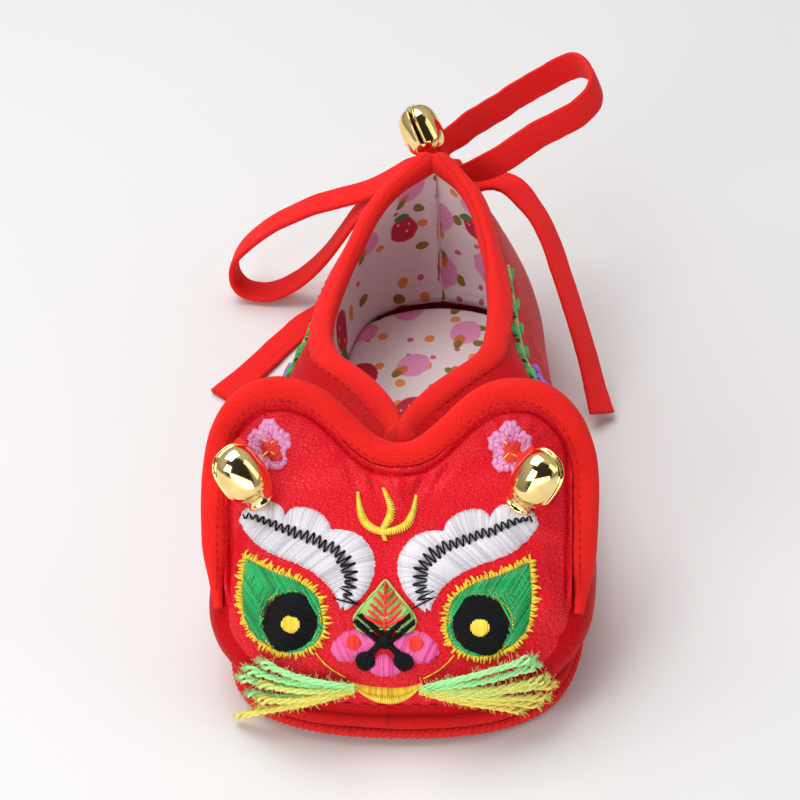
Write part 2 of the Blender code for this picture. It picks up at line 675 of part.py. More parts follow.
def make_ties(collection):
    cotton = material("red tie", (0.75, 0.02, 0.02), 0.7)
    bpy.ops.mesh.primitive_cube_add(size=1)
    knot = bpy.context.object
    knot.name = "tie_knot"
    knot.data.transform(Matrix.Diagonal((*(size * MM for size in KNOT_SIZE), 1)))
    knot.data.materials.append(cotton)
    knot.location = Vector(KNOT_MIDDLE) * MM
    rounded = knot.modifiers.new("rounded", "BEVEL")
    rounded.width = 1.6 * MM
    rounded.segments = 2
    for holder in knot.users_collection:
        holder.objects.unlink(knot)
    collection.objects.link(knot)
    half_wide, half_thick = TIE_WIDE / 2, TIE_THICK / 2
    corners = [(-1, -1), (1, -1), (1, 1), (-1, 1)]
    section = [(half_wide * x, half_thick * y) for x, y in corners]
    for name, route in TIES.items():
        places = np.array([place for place, _ in route])
        ways = np.array([way for _, way in route])
        stations = along(places)
        at = np.linspace(0, stations[-1], 33 if "loop" in name else 25)
        mesh = open_sweep(name, spline(stations, places, at), spline(stations, ways, at), section)
        add_object(name, mesh, cotton, collection)


def main():
    clear_scene()
    shoe = bpy.data.collections.new("tiger_head_shoe")
    cutters = bpy.data.collections.new("cutters")
    bpy.context.scene.collection.children.link(shoe)
    bpy.context.scene.collection.children.link(cutters)
    cutters.hide_render = True
    make_outsole(shoe)
    make_sole_edge_cord(shoe)
    make_insole(shoe)
    lines = meridians()
    tree = vamp_tree(make_upper(shoe, lines))
    make_collar_binding(shoe, lines)
    make_face_panel(shoe, tree)
    make_face_binding(shoe, tree)
    make_bells(shoe)
    make_whiskers(shoe, cutters)
    make_ties(shoe)


main()
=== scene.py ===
import math

import bpy
import numpy as np
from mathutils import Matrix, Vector
from mathutils.bvhtree import BVHTree


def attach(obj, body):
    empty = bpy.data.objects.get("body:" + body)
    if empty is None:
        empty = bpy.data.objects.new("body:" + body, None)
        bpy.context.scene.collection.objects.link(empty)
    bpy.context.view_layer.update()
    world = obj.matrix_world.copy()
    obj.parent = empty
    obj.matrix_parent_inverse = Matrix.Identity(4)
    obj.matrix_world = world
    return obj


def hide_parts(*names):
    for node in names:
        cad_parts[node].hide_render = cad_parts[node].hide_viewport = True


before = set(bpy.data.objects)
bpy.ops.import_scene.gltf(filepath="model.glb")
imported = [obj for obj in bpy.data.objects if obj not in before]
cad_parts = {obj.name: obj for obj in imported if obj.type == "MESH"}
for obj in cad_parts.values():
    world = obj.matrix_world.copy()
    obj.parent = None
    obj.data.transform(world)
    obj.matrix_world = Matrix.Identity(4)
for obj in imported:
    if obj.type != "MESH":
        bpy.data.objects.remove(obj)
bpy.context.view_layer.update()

MM = 0.001

# The photographer's standpoint: a long lens above the toe and a little to its right, level with nothing.
# The shoe stands on pale paper under one wide soft light above and behind it and weaker ones in front.
CAMERA_AT = (46.6, -358.3, 363.0)
CAMERA_TURN = (47.387, 3.671, 4.571)  # degrees about X, Y and Z
CAMERA_LENS = 105.3
SKY = [(0.0, 0.62), (0.46, 0.58), (0.52, 0.44), (0.66, 0.72), (1.0, 0.98)]  # brightness from below to overhead
DARK_WAY, DARK_FROM, DARK_TO = (0.08, -0.74, 0.67), 0.52, 0.66  # the unlit end of the room, behind the camera
LIGHTS = [
    # name, place, size, power, colour
    ("overhead", (-180, 170, 620), (620, 520), 3.6, (1.0, 0.985, 0.97)),
    ("front", (-330, -420, 330), (320, 320), 1.3, (1.0, 0.99, 0.98)),
    ("low front", (90, -560, 110), (760, 200), 1.25, (1.0, 0.99, 0.98)),
    ("side", (520, -60, 330), (260, 420), 0.35, (0.97, 0.98, 1.0)),
]


def add_node(tree, kind, **sockets):
    """A shader node with the given sockets set, by name with _ for a space, or joined to another node's output."""
    node = tree.nodes.new("ShaderNode" + kind)
    for name, value in sockets.items():
        if hasattr(node, name):
            setattr(node, name, value)
            continue
        slot = int(name[1:]) if name[0] == "i" and name[1:].isdigit() else name.replace("_", " ")
        if isinstance(value, bpy.types.NodeSocket):
            tree.links.new(value, node.inputs[slot])
        else:
            node.inputs[slot].default_value = value
    return node


def new_material(name, **sockets):
    """A material with a Principled shader, its constant sockets set."""
    made = bpy.data.materials.new(name)
    made.use_nodes = True
    shader = made.node_tree.nodes["Principled BSDF"]
    for socket, value in sockets.items():
        shader.inputs[socket.replace("_", " ")].default_value = value
    return made, made.node_tree, shader


def place_camera():
    camera = bpy.data.objects.new("camera", bpy.data.cameras.new("camera"))
    camera.location = Vector(CAMERA_AT) * MM
    camera.rotation_euler = [math.radians(turn) for turn in CAMERA_TURN]
    camera.data.lens = CAMERA_LENS
    camera.data.sensor_width = 36.0
    camera.data.clip_start, camera.data.clip_end = 0.01, 20.0
    bpy.context.scene.collection.objects.link(camera)
    bpy.context.scene.camera = camera


def light_the_room():
    for name, place, (wide, tall), power, colour in LIGHTS:
        lamp = bpy.data.lights.new(name, "AREA")
        lamp.shape = "RECTANGLE"
        lamp.size, lamp.size_y = wide * MM, tall * MM
        lamp.energy = power
        lamp.color = colour
        holder = bpy.data.objects.new(name, lamp)
        holder.location = Vector(place) * MM
        holder.rotation_euler = (Vector((0, 0, 0.02)) - holder.location).to_track_quat("-Z", "Y").to_euler()
        bpy.context.scene.collection.objects.link(holder)
    world = bpy.data.worlds.new("studio")
    world.use_nodes = True
    tree = world.node_tree
    way = add_node(tree, "TexCoord")
    height = add_node(tree, "SeparateXYZ", i0=way.outputs["Generated"])
    share = add_node(tree, "MapRange", i0=height.outputs["Z"], i1=-1.0, i2=1.0)
    ramp = add_node(tree, "ValToRGB", i0=share.outputs[0])
    while len(ramp.color_ramp.elements) < len(SKY):
        ramp.color_ramp.elements.new(0.5)
    for stop, (at, bright) in zip(ramp.color_ramp.elements, SKY):
        stop.position = at
        stop.color = (bright, bright, bright * 1.01, 1.0)
    facing = add_node(tree, "VectorMath", operation="DOT_PRODUCT", i0=way.outputs["Generated"], i1=DARK_WAY)
    dim = add_node(tree, "MapRange", i0=facing.outputs["Value"], i1=DARK_FROM, i2=DARK_TO, i3=1.0, i4=0.06)
    shaded = add_node(tree, "VectorMath", operation="SCALE", i0=ramp.outputs[0], Scale=dim.outputs[0])
    tree.links.new(shaded.outputs[0], tree.nodes["Background"].inputs["Color"])
    tree.nodes["Background"].inputs["Strength"].default_value = 0.62
    bpy.context.scene.world = world
    bpy.context.scene.view_settings.view_transform = "Standard"


def lay_floor():
    bpy.ops.mesh.primitive_plane_add(size=5.0)
    floor = bpy.context.object
    floor.name = "floor"
    paper, tree, shader = new_material("pale paper", Roughness=0.65)
    where = add_node(tree, "TexCoord")
    cloud = add_node(tree, "TexNoise", Vector=where.outputs["Object"], Scale=3.0, Detail=2.0)
    tone = add_node(tree, "ValToRGB", i0=cloud.outputs[0])
    tone.color_ramp.elements[0].color = (0.755, 0.75, 0.755, 1)
    tone.color_ramp.elements[1].color = (0.785, 0.785, 0.79, 1)
    tree.links.new(tone.outputs[0], shader.inputs["Base Color"])
    floor.data.materials.append(paper)


place_camera()
light_the_room()
lay_floor()

# The sole is layers of cotton pasted together and covered in red cloth, cut straight so that it fits either
# foot. Its side band is turned over the edge, and the toe is sprung a little off the floor.
SOLE_THICK = 5.0
TOE_SPRING, TOE_SPRING_FROM = 1.2, -44.0
ARCH_RISE, ARCH_FROM, ARCH_TO = 0.7, 4.0, 28.0
GAP = 0.3
FINE = 12  # points for each row of the section table
# Right half of the shoe from the toe round to the heel: the sole's edge, the widest place, the shoulder,
# the upper side and the rim, each as x, y, z
SECTIONS = np.array([
    [(0.0, -66.0, 0), (0.0, -63.0, 11.0), (0.0, -54.3, 20.2), (0.0, -38.2, 32.0), (0.0, -18.6, 42.0)],
    [(12.5, -65.2, 0), (12.5, -62.6, 11.2), (11.5, -53.8, 20.2), (8.4, -37.0, 32.2), (1.6, -12.6, 41.6)],
    [(22.8, -62.3, 0), (24.2, -60.6, 11.6), (22.2, -52.0, 21.0), (16.0, -33.0, 32.6), (5.2, -5.6, 40.9)],
    [(30.2, -57.0, 0), (32.8, -55.8, 12.2), (30.4, -46.4, 23.0), (22.8, -27.0, 33.0), (10.0, 0.8, 40.1)],
    [(34.5, -48.2, 0), (37.8, -47.0, 13.0), (34.8, -37.0, 24.8), (26.8, -18.5, 33.3), (14.7, 6.8, 39.3)],
    [(35.9, -34.0, 0), (38.6, -31.5, 13.5), (35.2, -24.0, 26.0), (27.2, -7.5, 33.3), (16.8, 14.0, 38.8)],
    [(34.0, -16.0, 0), (36.4, -14.0, 14.0), (33.0, -8.5, 25.5), (25.6, 5.0, 33.0), (17.0, 22.4, 38.8)],
    [(29.8, 2.0, 0), (32.2, 4.0, 14.0), (28.6, 9.0, 25.5), (22.2, 17.0, 33.4), (16.2, 30.7, 39.8)],
    [(26.6, 20.0, 0), (28.2, 22.0, 14.0), (24.8, 26.0, 26.0), (19.6, 31.0, 34.6), (15.2, 39.1, 41.3)],
    [(24.4, 38.0, 0), (25.4, 40.0, 14.0), (21.8, 42.5, 27.0), (17.2, 45.0, 36.6), (12.6, 47.8, 43.3)],
    [(21.0, 53.0, 0), (21.6, 54.8, 14.0), (18.0, 56.0, 28.0), (13.4, 56.0, 38.0), (9.0, 55.8, 45.3)],
    [(12.8, 62.0, 0), (13.3, 63.4, 14.0), (10.4, 63.8, 28.0), (7.2, 63.0, 39.0), (4.2, 61.8, 47.0)],
    [(0.0, 65.0, 0), (0.0, 66.6, 14.0), (0.0, 67.0, 28.0), (0.0, 66.5, 39.0), (0.0, 65.2, 48.2)],
])
SWING_Y, SWING_X = (-66.0, -40.0, -5.0), (-1.6, -0.8, 0.0)
# Side of the sole from its underside to its top: how far in from the edge, and height
SOLE_SIDE = [(2.6, 0.0), (2.1, 0.35), (1.95, 1.2), (1.9, 2.5), (0.55, 2.62), (0.1, 3.1), (0.0, 3.8), (0.25, 4.55), (1.0, 5.0), (3.0, 5.1)]


def spline(stations, values, at, period=None):
    """A cubic spline through values at the stations: natural ends, or closed with the given period."""
    stations, values, at = np.array(stations, float), np.array(values, float), np.array(at, float)
    if period is not None:
        stations = np.append(stations, stations[0] + period)
        values = np.concatenate([values, values[:1]])
        at = stations[0] + (at - stations[0]) % period
    tail = [1] * (values.ndim - 1)
    steps = np.diff(stations)
    slopes = np.diff(values, axis=0) / steps.reshape(-1, *tail)
    count = len(stations)
    matrix, right = np.zeros((count, count)), np.zeros_like(values)
    for i in range(1, count - 1):
        matrix[i, i - 1 : i + 2] = steps[i - 1], 2 * (steps[i - 1] + steps[i]), steps[i]
        right[i] = 6 * (slopes[i] - slopes[i - 1])
    if period is None:
        matrix[0, 0] = matrix[-1, -1] = 1
    else:
        matrix[0, 0], matrix[0, -1] = 1, -1
        matrix[-1, 0], matrix[-1, 1] = 2 * steps[0], steps[0]
        matrix[-1, -2], matrix[-1, -1] = steps[-1], 2 * steps[-1]
        right[-1] = 6 * (slopes[0] - slopes[-1])
    bends = np.linalg.solve(matrix, right)
    i = np.clip(np.searchsorted(stations, at, side="right") - 1, 0, count - 2)
    h, t = steps[i].reshape(-1, *tail), (at - stations[i]).reshape(-1, *tail)
    return (
        values[i]
        + t * (slopes[i] - h * (2 * bends[i] + bends[i + 1]) / 6)
        + t**2 * bends[i] / 2
        + t**3 * (bends[i + 1] - bends[i]) / (6 * h)
    )


def along(points):
    """The distance of each point along the line that they make."""
    return np.concatenate([[0], np.cumsum(np.linalg.norm(np.diff(points, axis=0), axis=1))])


def unit(vectors):
    return vectors / np.maximum(np.linalg.norm(vectors, axis=-1, keepdims=True), 1e-9)


def finer(points, count, closed=False):
    """The same line through a spline, as this many points spaced evenly along it."""
    points = np.array(points, float)
    if closed:
        stations = along(np.concatenate([points, points[:1]]))
        return spline(stations[:-1], points, np.arange(count) / count * stations[-1], period=stations[-1])
    stations = along(points)
    return spline(stations, points, np.linspace(0, stations[-1], count))


def ripple(points, size, seed, octaves=3):
    """Smooth random swells between about -1 and 1 at places in millimetres, the biggest of them this size."""
    chance = np.random.default_rng(seed)
    total, points = 0.0, np.asarray(points, float)
    for octave in range(octaves):
        for _ in range(5):
            way = unit(chance.normal(size=points.shape[-1])) * 2 * math.pi / size * 2**octave
            total = total + np.sin(points @ way + chance.uniform(0, 2 * math.pi)) / 2**octave
    return total / 4


def around(column):
    """The closed line through one column of the section table, toe first and right side first."""
    half = SECTIONS[:, column]
    line = np.concatenate([half, half[-2:0:-1] * [-1, 1, 1]])
    line = spline(range(len(line)), line, np.arange(len(line) * FINE) / FINE, period=len(line))
    line[:, 0] += np.interp(line[:, 1], SWING_Y, SWING_X)
    return line


def inset_line(line, inset):
    """A closed line moved inwards, level with itself."""
    ahead = np.roll(line, -1, axis=0) - np.roll(line, 1, axis=0)
    return line + inset * unit(np.stack([-ahead[:, 1], ahead[:, 0], 0 * ahead[:, 0]], axis=1))


def toe_lift(y):
    return TOE_SPRING * np.clip((TOE_SPRING_FROM - y) / (TOE_SPRING_FROM + 66.0), 0, 1) ** 2


def arch_lift(y):
    return ARCH_RISE * np.sin(math.pi * np.clip((y - ARCH_FROM) / (ARCH_TO - ARCH_FROM), 0, 1)) ** 2


def sole_ring(inset, height):
    ring = inset_line(around(0), inset)
    ring[:, 2] = height + toe_lift(ring[:, 1]) + arch_lift(ring[:, 1]) * (height < 0.5)
    return ring


def solid(name, points, faces, made_of, uv=None, slots=None, shade=None):
    """A closed mesh from points in millimetres, turned to face outwards, with one place in millimetres per point as UV."""
    points = np.asarray(points, float)
    quads = np.array([f if len(f) == 4 else (*f, f[-1]) for f in faces if len(f) < 5])
    a, b, c, d = (points[quads[:, k]] - points[0] for k in range(4))
    volume = np.einsum("ij,ij->i", a, np.cross(b, c)).sum() + np.einsum("ij,ij->i", a, np.cross(c, d)).sum()
    if volume < 0:
        faces = [tuple(reversed(f)) for f in faces]
    mesh = bpy.data.meshes.new(name)
    mesh.from_pydata((points * MM).tolist(), [], [tuple(int(k) for k in f) for f in faces])
    if uv is not None:
        corners = np.zeros(len(mesh.loops), np.int32)
        mesh.loops.foreach_get("vertex_index", corners)
        layer = mesh.uv_layers.new(name="cloth")
        layer.data.foreach_set("uv", np.asarray(uv, np.float32)[corners].ravel())
    if shade is not None:
        mesh.attributes.new("shade", "FLOAT", "POINT").data.foreach_set("value", np.asarray(shade, np.float32))
    for one in made_of if isinstance(made_of, (list, tuple)) else [made_of]:
        mesh.materials.append(one)
    if slots is not None:
        mesh.polygons.foreach_set("material_index", np.asarray(slots, np.int32))
    mesh.shade_smooth()
    mesh.validate()
    piece = bpy.data.objects.new(name, mesh)
    bpy.context.scene.collection.objects.link(piece)
    return piece


def grid_faces(rows, columns, ring_rows=False, ring_columns=False, first=0):
    """Faces over a grid of points, row by row, which may close on itself either way."""
    return [
        (
            first + i * columns + j,
            first + (i + 1) % rows * columns + j,
            first + (i + 1) % rows * columns + (j + 1) % columns,
            first + i * columns + (j + 1) % columns,
        )
        for i in range(rows if ring_rows else rows - 1)
        for j in range(columns if ring_columns else columns - 1)
    ]


def grid_uv(grid):
    """Places in millimetres along a grid's rows and across its columns, for the weave."""
    middle = grid[:, grid.shape[1] // 2]
    u = np.repeat(along(middle)[:, None], grid.shape[1], axis=1)
    v = np.concatenate([np.zeros((len(grid), 1)), np.cumsum(np.linalg.norm(np.diff(grid, axis=1), axis=2), axis=1)], axis=1)
    return np.stack([u, v], axis=2).reshape(-1, 2)


def strips_across(first, count):
    """Faces that close a ring of points straight across from its right side to its left."""
    half = count // 2
    faces = [(first, first + 1, first + count - 1), (first + half - 1, first + half, first + half + 1)]
    return faces + [(first + i, first + i + 1, first + count - i - 1, first + count - i) for i in range(1, half - 1)]


def weave_bump(tree, shader, pitch, depth, slant=False, rough=None):
    """Plain weave or, slanted, bias-cut cloth: crossing threads as bump, with a little fuzz."""
    where = add_node(tree, "UVMap", uv_map="cloth")
    turned = add_node(tree, "Mapping", Vector=where.outputs[0], Rotation=(0, 0, math.radians(45 if slant else 0)))
    warp = add_node(tree, "TexWave", Vector=turned.outputs[0], Scale=0.314 / pitch, Distortion=0.6, bands_direction="X")
    weft = add_node(tree, "TexWave", Vector=turned.outputs[0], Scale=0.314 / pitch, Distortion=0.6, bands_direction="Y")
    both = add_node(tree, "Math", operation="ADD", i0=warp.outputs["Fac"], i1=weft.outputs["Fac"])
    fuzz = add_node(tree, "TexNoise", Vector=where.outputs[0], Scale=1.2 / pitch, Detail=4.0)
    mixed = add_node(tree, "Math", operation="MULTIPLY_ADD", i0=fuzz.outputs[0], i1=1.2, i2=both.outputs[0])
    bump = add_node(tree, "Bump", Height=mixed.outputs[0], Distance=depth * MM, Strength=0.7)
    tree.links.new(bump.outputs[0], shader.inputs["Normal"])
    return where, mixed, fuzz


def two_tones(tree, shader, factor, low, high, start=0.3, end=0.7):
    """Colour that drifts between two tones."""
    tone = add_node(tree, "ValToRGB", i0=factor)
    tone.color_ramp.elements[0].position, tone.color_ramp.elements[0].color = start, (*low, 1)
    tone.color_ramp.elements[1].position, tone.color_ramp.elements[1].color = end, (*high, 1)
    tree.links.new(tone.outputs[0], shader.inputs["Base Color"])
    return tone


def red_cotton(name, low, high, pitch=0.42, slant=False):
    """Matte dyed cotton: visible threads, a little paler where they rise."""
    made, tree, shader = new_material(name, Roughness=0.85, Specular_IOR_Level=0.15, Sheen_Weight=0.05)
    _, _, fuzz = weave_bump(tree, shader, pitch, 0.05, slant)
    two_tones(tree, shader, fuzz.outputs[0], low, high)
    return made


def make_sole():
    cloth = red_cotton("red sole cloth", (0.56, 0.006, 0.008), (0.70, 0.012, 0.014))
    side = finer(SOLE_SIDE, 26)
    rings = np.stack([sole_ring(inset, height) for inset, height in side])
    rings[..., :2] += 0.12 * ripple(rings, 9.0, 3)[..., None] * unit(rings[..., :2]) * (rings[..., 2:] > 2.4)
    rows, count = rings.shape[:2]
    faces = grid_faces(rows, count, ring_columns=True)
    faces += strips_across(0, count) + strips_across((rows - 1) * count, count)
    sole = solid("sole", rings.reshape(-1, 3), faces, cloth, uv=grid_uv(rings.transpose(1, 0, 2)).reshape(count, rows, 2).transpose(1, 0, 2).reshape(-1, 2))
    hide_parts("outsole")
    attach(sole, "root")


make_sole()

# A cord of two red plies is whipped on round the foot of the sole and covers its lower edge.
# It shows as a twisted line along the floor.
CORD_RADIUS, CORD_INSET, CORD_HEIGHT = 1.1, 0.5, 1.2
CORD_PLIES, CORD_TWIST = 2, 2.7


def frames(line, ups, closed=False):
    """Side and up vectors along a line, square to it, with up as near as can be to the given way."""
    ahead = np.roll(line, -1, axis=-2) - np.roll(line, 1, axis=-2) if closed else np.gradient(line, axis=-2)
    ahead = unit(ahead)
    side = unit(np.cross(ahead, ups))
    return side, np.cross(side, ahead)


def tubes(lines, radii, ups, sides, closed=False):
    """Points and faces of round tubes along several lines at once, each capped unless it is closed."""
    lines = np.asarray(lines, float)
    count, steps = lines.shape[:2]
    side, up = frames(lines, ups, closed)
    turn = 2 * math.pi * np.arange(sides) / sides
    radii = np.broadcast_to(radii, (count, steps))[..., None, None]
    ring = np.cos(turn)[:, None] * side[:, :, None] + np.sin(turn)[:, None] * up[:, :, None]
    points = (lines[:, :, None] + radii * ring).reshape(-1, 3)
    faces = []
    for n in range(count):
        first = n * steps * sides
        faces += grid_faces(steps, sides, closed, True, first)
        if not closed:
            last = first + (steps - 1) * sides
            faces += [tuple(range(first, first + sides))[::-1], tuple(range(last, last + sides))]
    return points, faces


def strand_solid(name, lines, radii, ups, sides, made_of, closed=False, seed=1):
    """One mesh of many strands, each with its own shade from 0 to 1 for the material."""
    points, faces = tubes(lines, radii, ups, sides, closed)
    count, steps = np.shape(lines)[:2]
    shade = np.repeat(np.random.default_rng(seed).uniform(0, 1, count), steps * sides)
    mesh = bpy.data.meshes.new(name)
    mesh.from_pydata((points * MM).tolist(), [], faces)
    mesh.attributes.new("shade", "FLOAT", "POINT").data.foreach_set("value", shade.astype(np.float32))
    mesh.materials.append(made_of)
    mesh.shade_smooth()
    piece = bpy.data.objects.new(name, mesh)
    bpy.context.scene.collection.objects.link(piece)
    return piece


def thread_material(name, low, high, roughness=0.45, sheen=0.1, gloss=0.4, fuzz=0.35):
    """Spun or embroidery thread: each strand a slightly different tone, with fine fibres as bump."""
    made, tree, shader = new_material(name, Roughness=roughness, Sheen_Weight=sheen, Specular_IOR_Level=gloss)
    where = add_node(tree, "TexCoord")
    shade = add_node(tree, "Attribute", attribute_name="shade")
    grain = add_node(tree, "TexNoise", Vector=where.outputs["Object"], Scale=1800.0, Detail=3.0)
    both = add_node(tree, "Math", operation="MULTIPLY_ADD", i0=grain.outputs[0], i1=0.5, i2=shade.outputs["Fac"])
    two_tones(tree, shader, both.outputs[0], low, high, 0.1, 1.3)
    fibres = add_node(tree, "TexNoise", Vector=where.outputs["Object"], Scale=5200.0, Detail=2.0)
    bump = add_node(tree, "Bump", Height=fibres.outputs[0], Distance=fuzz * 0.1 * MM, Strength=0.6)
    tree.links.new(bump.outputs[0], shader.inputs["Normal"])
    return made


def make_sole_cord():
    line = finer(sole_ring(CORD_INSET, CORD_HEIGHT), 1500, closed=True)
    stations = along(np.concatenate([line, line[:1]]))
    turns = round(stations[-1] / CORD_TWIST)
    side, up = frames(line, np.tile([0, 0, 1.0], (len(line), 1)), closed=True)
    plies = []
    for ply in range(CORD_PLIES):
        turn = (2 * math.pi * (turns * stations[:-1] / stations[-1] + ply / CORD_PLIES))[:, None]
        plies.append(line + 0.48 * (np.cos(turn) * side + np.sin(turn) * up))
    red = thread_material("red cord", (0.56, 0.008, 0.010), (0.74, 0.016, 0.016), 0.75, gloss=0.15)
    cord = strand_solid("sole_cord", plies, CORD_RADIUS - 0.45, np.array([0, 0, 1.0]), 7, red, closed=True)
    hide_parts("sole_edge_cord")
    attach(cord, "root")


make_sole_cord()

# The upper is one piece of thin red satin over wadding, lasted round the toe and pinched at the heel, with a
# printed cotton lining. It is stitched down to the sole, and the collar has slumped a little to one side.
WALL = 2.2
FEATHER_INSET, FOOT_TALL = 1.0, 1.5
RIM_SHORT = 2.6  # the wall's edge runs up into the middle of its binding
FOOT_ROW_TALL = 2.9
LEAN_Y = (-40.0, -19.0, 0.0, 14.0, 22.0, 35.0, 50.0, 66.0)
LEAN_X = (0.0, -1.2, -1.4, -2.4, -2.2, -1.6, -1.0, -0.1)
UPPER_ROWS = 74
HEEL_MIDDLE, HEEL_RIDGE = 0.4, 0.7
HEEL_CREASES = [(3.4, 1.4), (0.5, 0.5)]  # width and depth of the fold inside, and of the seam in it
# Soft folds of the satin: place on the outside x, y, z, the way it runs, length, width and depth
UPPER_FOLDS = [
    ((31.0, -8.0, 22.0), (0.25, 1.0, 0.35), 16.0, 3.2, -0.55),
    ((30.0, 6.0, 14.0), (0.1, 1.0, -0.3), 14.0, 3.0, -0.4),
    ((25.5, 24.0, 24.0), (0.2, 0.8, 0.6), 12.0, 2.8, 0.35),
    ((-32.0, -10.0, 20.0), (-0.2, 1.0, 0.4), 17.0, 3.2, -0.55),
    ((-28.5, 10.0, 15.0), (-0.1, 1.0, -0.25), 13.0, 3.0, -0.4),
    ((-25.0, 28.0, 25.0), (-0.2, 0.8, 0.6), 12.0, 2.8, 0.35),
    ((36.5, -40.0, 11.0), (0.2, 0.4, 1.0), 9.0, 2.6, -0.5),
    ((-37.0, -38.0, 10.5), (-0.2, 0.4, 1.0), 9.0, 2.6, -0.5),
    ((14.0, 60.5, 18.0), (-0.3, 0.3, 1.0), 13.0, 2.6, -0.4),
    ((-14.5, 60.0, 22.0), (0.3, 0.3, 1.0), 12.0, 2.6, -0.4),
]


def leaned(points):
    """The points with the collar's slump to one side, which grows with height."""
    moved = points.copy()
    moved[:, 0] += np.interp(points[:, 1], LEAN_Y, LEAN_X) * rise(points[:, 2], 4.0, 30.0)
    return moved


def upper_grid(rows, short=0.0):
    """The upper's outer surface as points, one row of them up each line from the sole to just short of the rim."""
    foot = inset_line(around(0), FEATHER_INSET)
    foot[:, 2] = SOLE_THICK + GAP + toe_lift(foot[:, 1])
    columns = [foot + [0, 0, FOOT_TALL]] + [around(k) for k in range(1, 5)]
    lines = []
    for knots in np.stack(columns, axis=1):
        stations = along(knots)
        lines.append(leaned(spline(stations, knots, np.linspace(0, stations[-1] - short, rows))))
    return np.concatenate([foot[:, None], np.array(lines)], axis=1)


def outward(grid):
    """Unit normals of a grid that closes round on itself by rows."""
    ahead = np.roll(grid, -1, axis=0) - np.roll(grid, 1, axis=0)
    return unit(np.cross(ahead, np.gradient(grid, axis=1)))


def rise(values, start, end):
    """A smooth step from 0 to 1."""
    share = np.clip((values - start) / (end - start), 0, 1)
    return share * share * (3 - 2 * share)


def along_rows(grid):
    """How far up its line each point of a grid is."""
    steps = np.linalg.norm(np.diff(grid, axis=1), axis=2)
    return np.concatenate([np.zeros((len(grid), 1)), np.cumsum(steps, axis=1)], axis=1)


def seamed(grid):
    """The grid with a ridge down the heel, pinched in where it meets the sole and along the row of stitches there."""
    up = along_rows(grid)
    ridge = HEEL_RIDGE * np.exp(-np.abs(grid[..., 0] - HEEL_MIDDLE) / 1.1) * (grid[..., 1] > 50)
    pinch = 0.8 * np.exp(-((up / 1.5) ** 2)) + 0.35 * np.exp(-(((up - FOOT_ROW_TALL) / 0.45) ** 2))
    return grid + (ridge - pinch)[..., None] * outward(grid)


def folded(grid, folds):
    """The grid with soft troughs and ridges pressed into it along its normals."""
    moved, out = grid.copy(), outward(grid)
    for place, way, length, width, depth in folds:
        way = unit(np.array(way))
        apart = grid - np.array(place)
        run = apart @ way
        across = np.linalg.norm(apart - run[..., None] * way, axis=-1)
        bow = np.exp(-((run / length * 2) ** 2)) * np.exp(-((across / width) ** 2))
        moved += (depth * bow)[..., None] * out
    return moved


def satin(name, low, high, gleam, twill=0.36):
    """Red satin: a smooth face of long floats over a fine slanted twill, with small glints along its grain."""
    made, tree, shader = new_material(name, Sheen_Weight=0.03, Sheen_Roughness=0.35, Anisotropic=0.35)
    where = add_node(tree, "UVMap", uv_map="cloth")
    turned = add_node(tree, "Mapping", Vector=where.outputs[0], Rotation=(0, 0, math.radians(62)))
    long_grain = add_node(tree, "Mapping", Vector=turned.outputs[0], Scale=(1.0, 0.35, 1.0))
    floats = add_node(tree, "TexWave", Vector=turned.outputs[0], Scale=0.314 / twill, Distortion=1.6)
    floats.inputs["Detail"].default_value = 2.0
    grain = add_node(tree, "TexNoise", Vector=long_grain.outputs[0], Scale=4.6, Detail=5.0, Roughness=0.7)
    both = add_node(tree, "Math", operation="MULTIPLY_ADD", i0=grain.outputs[0], i1=2.2, i2=floats.outputs["Fac"])
    bump = add_node(tree, "Bump", Height=both.outputs[0], Distance=0.04 * MM, Strength=0.5)
    tree.links.new(bump.outputs[0], shader.inputs["Normal"])
    two_tones(tree, shader, grain.outputs[0], low, high, 0.40, 0.62)
    gloss = add_node(tree, "MapRange", i0=grain.outputs[0], i1=0.35, i2=0.65, i3=0.55, i4=0.36)
    tree.links.new(gloss.outputs[0], shader.inputs["Roughness"])
    glint = add_node(tree, "MapRange", i0=grain.outputs[0], i1=0.45, i2=0.70, i3=0.05, i4=gleam)
    tree.links.new(glint.outputs[0], shader.inputs["Specular IOR Level"])
    return made


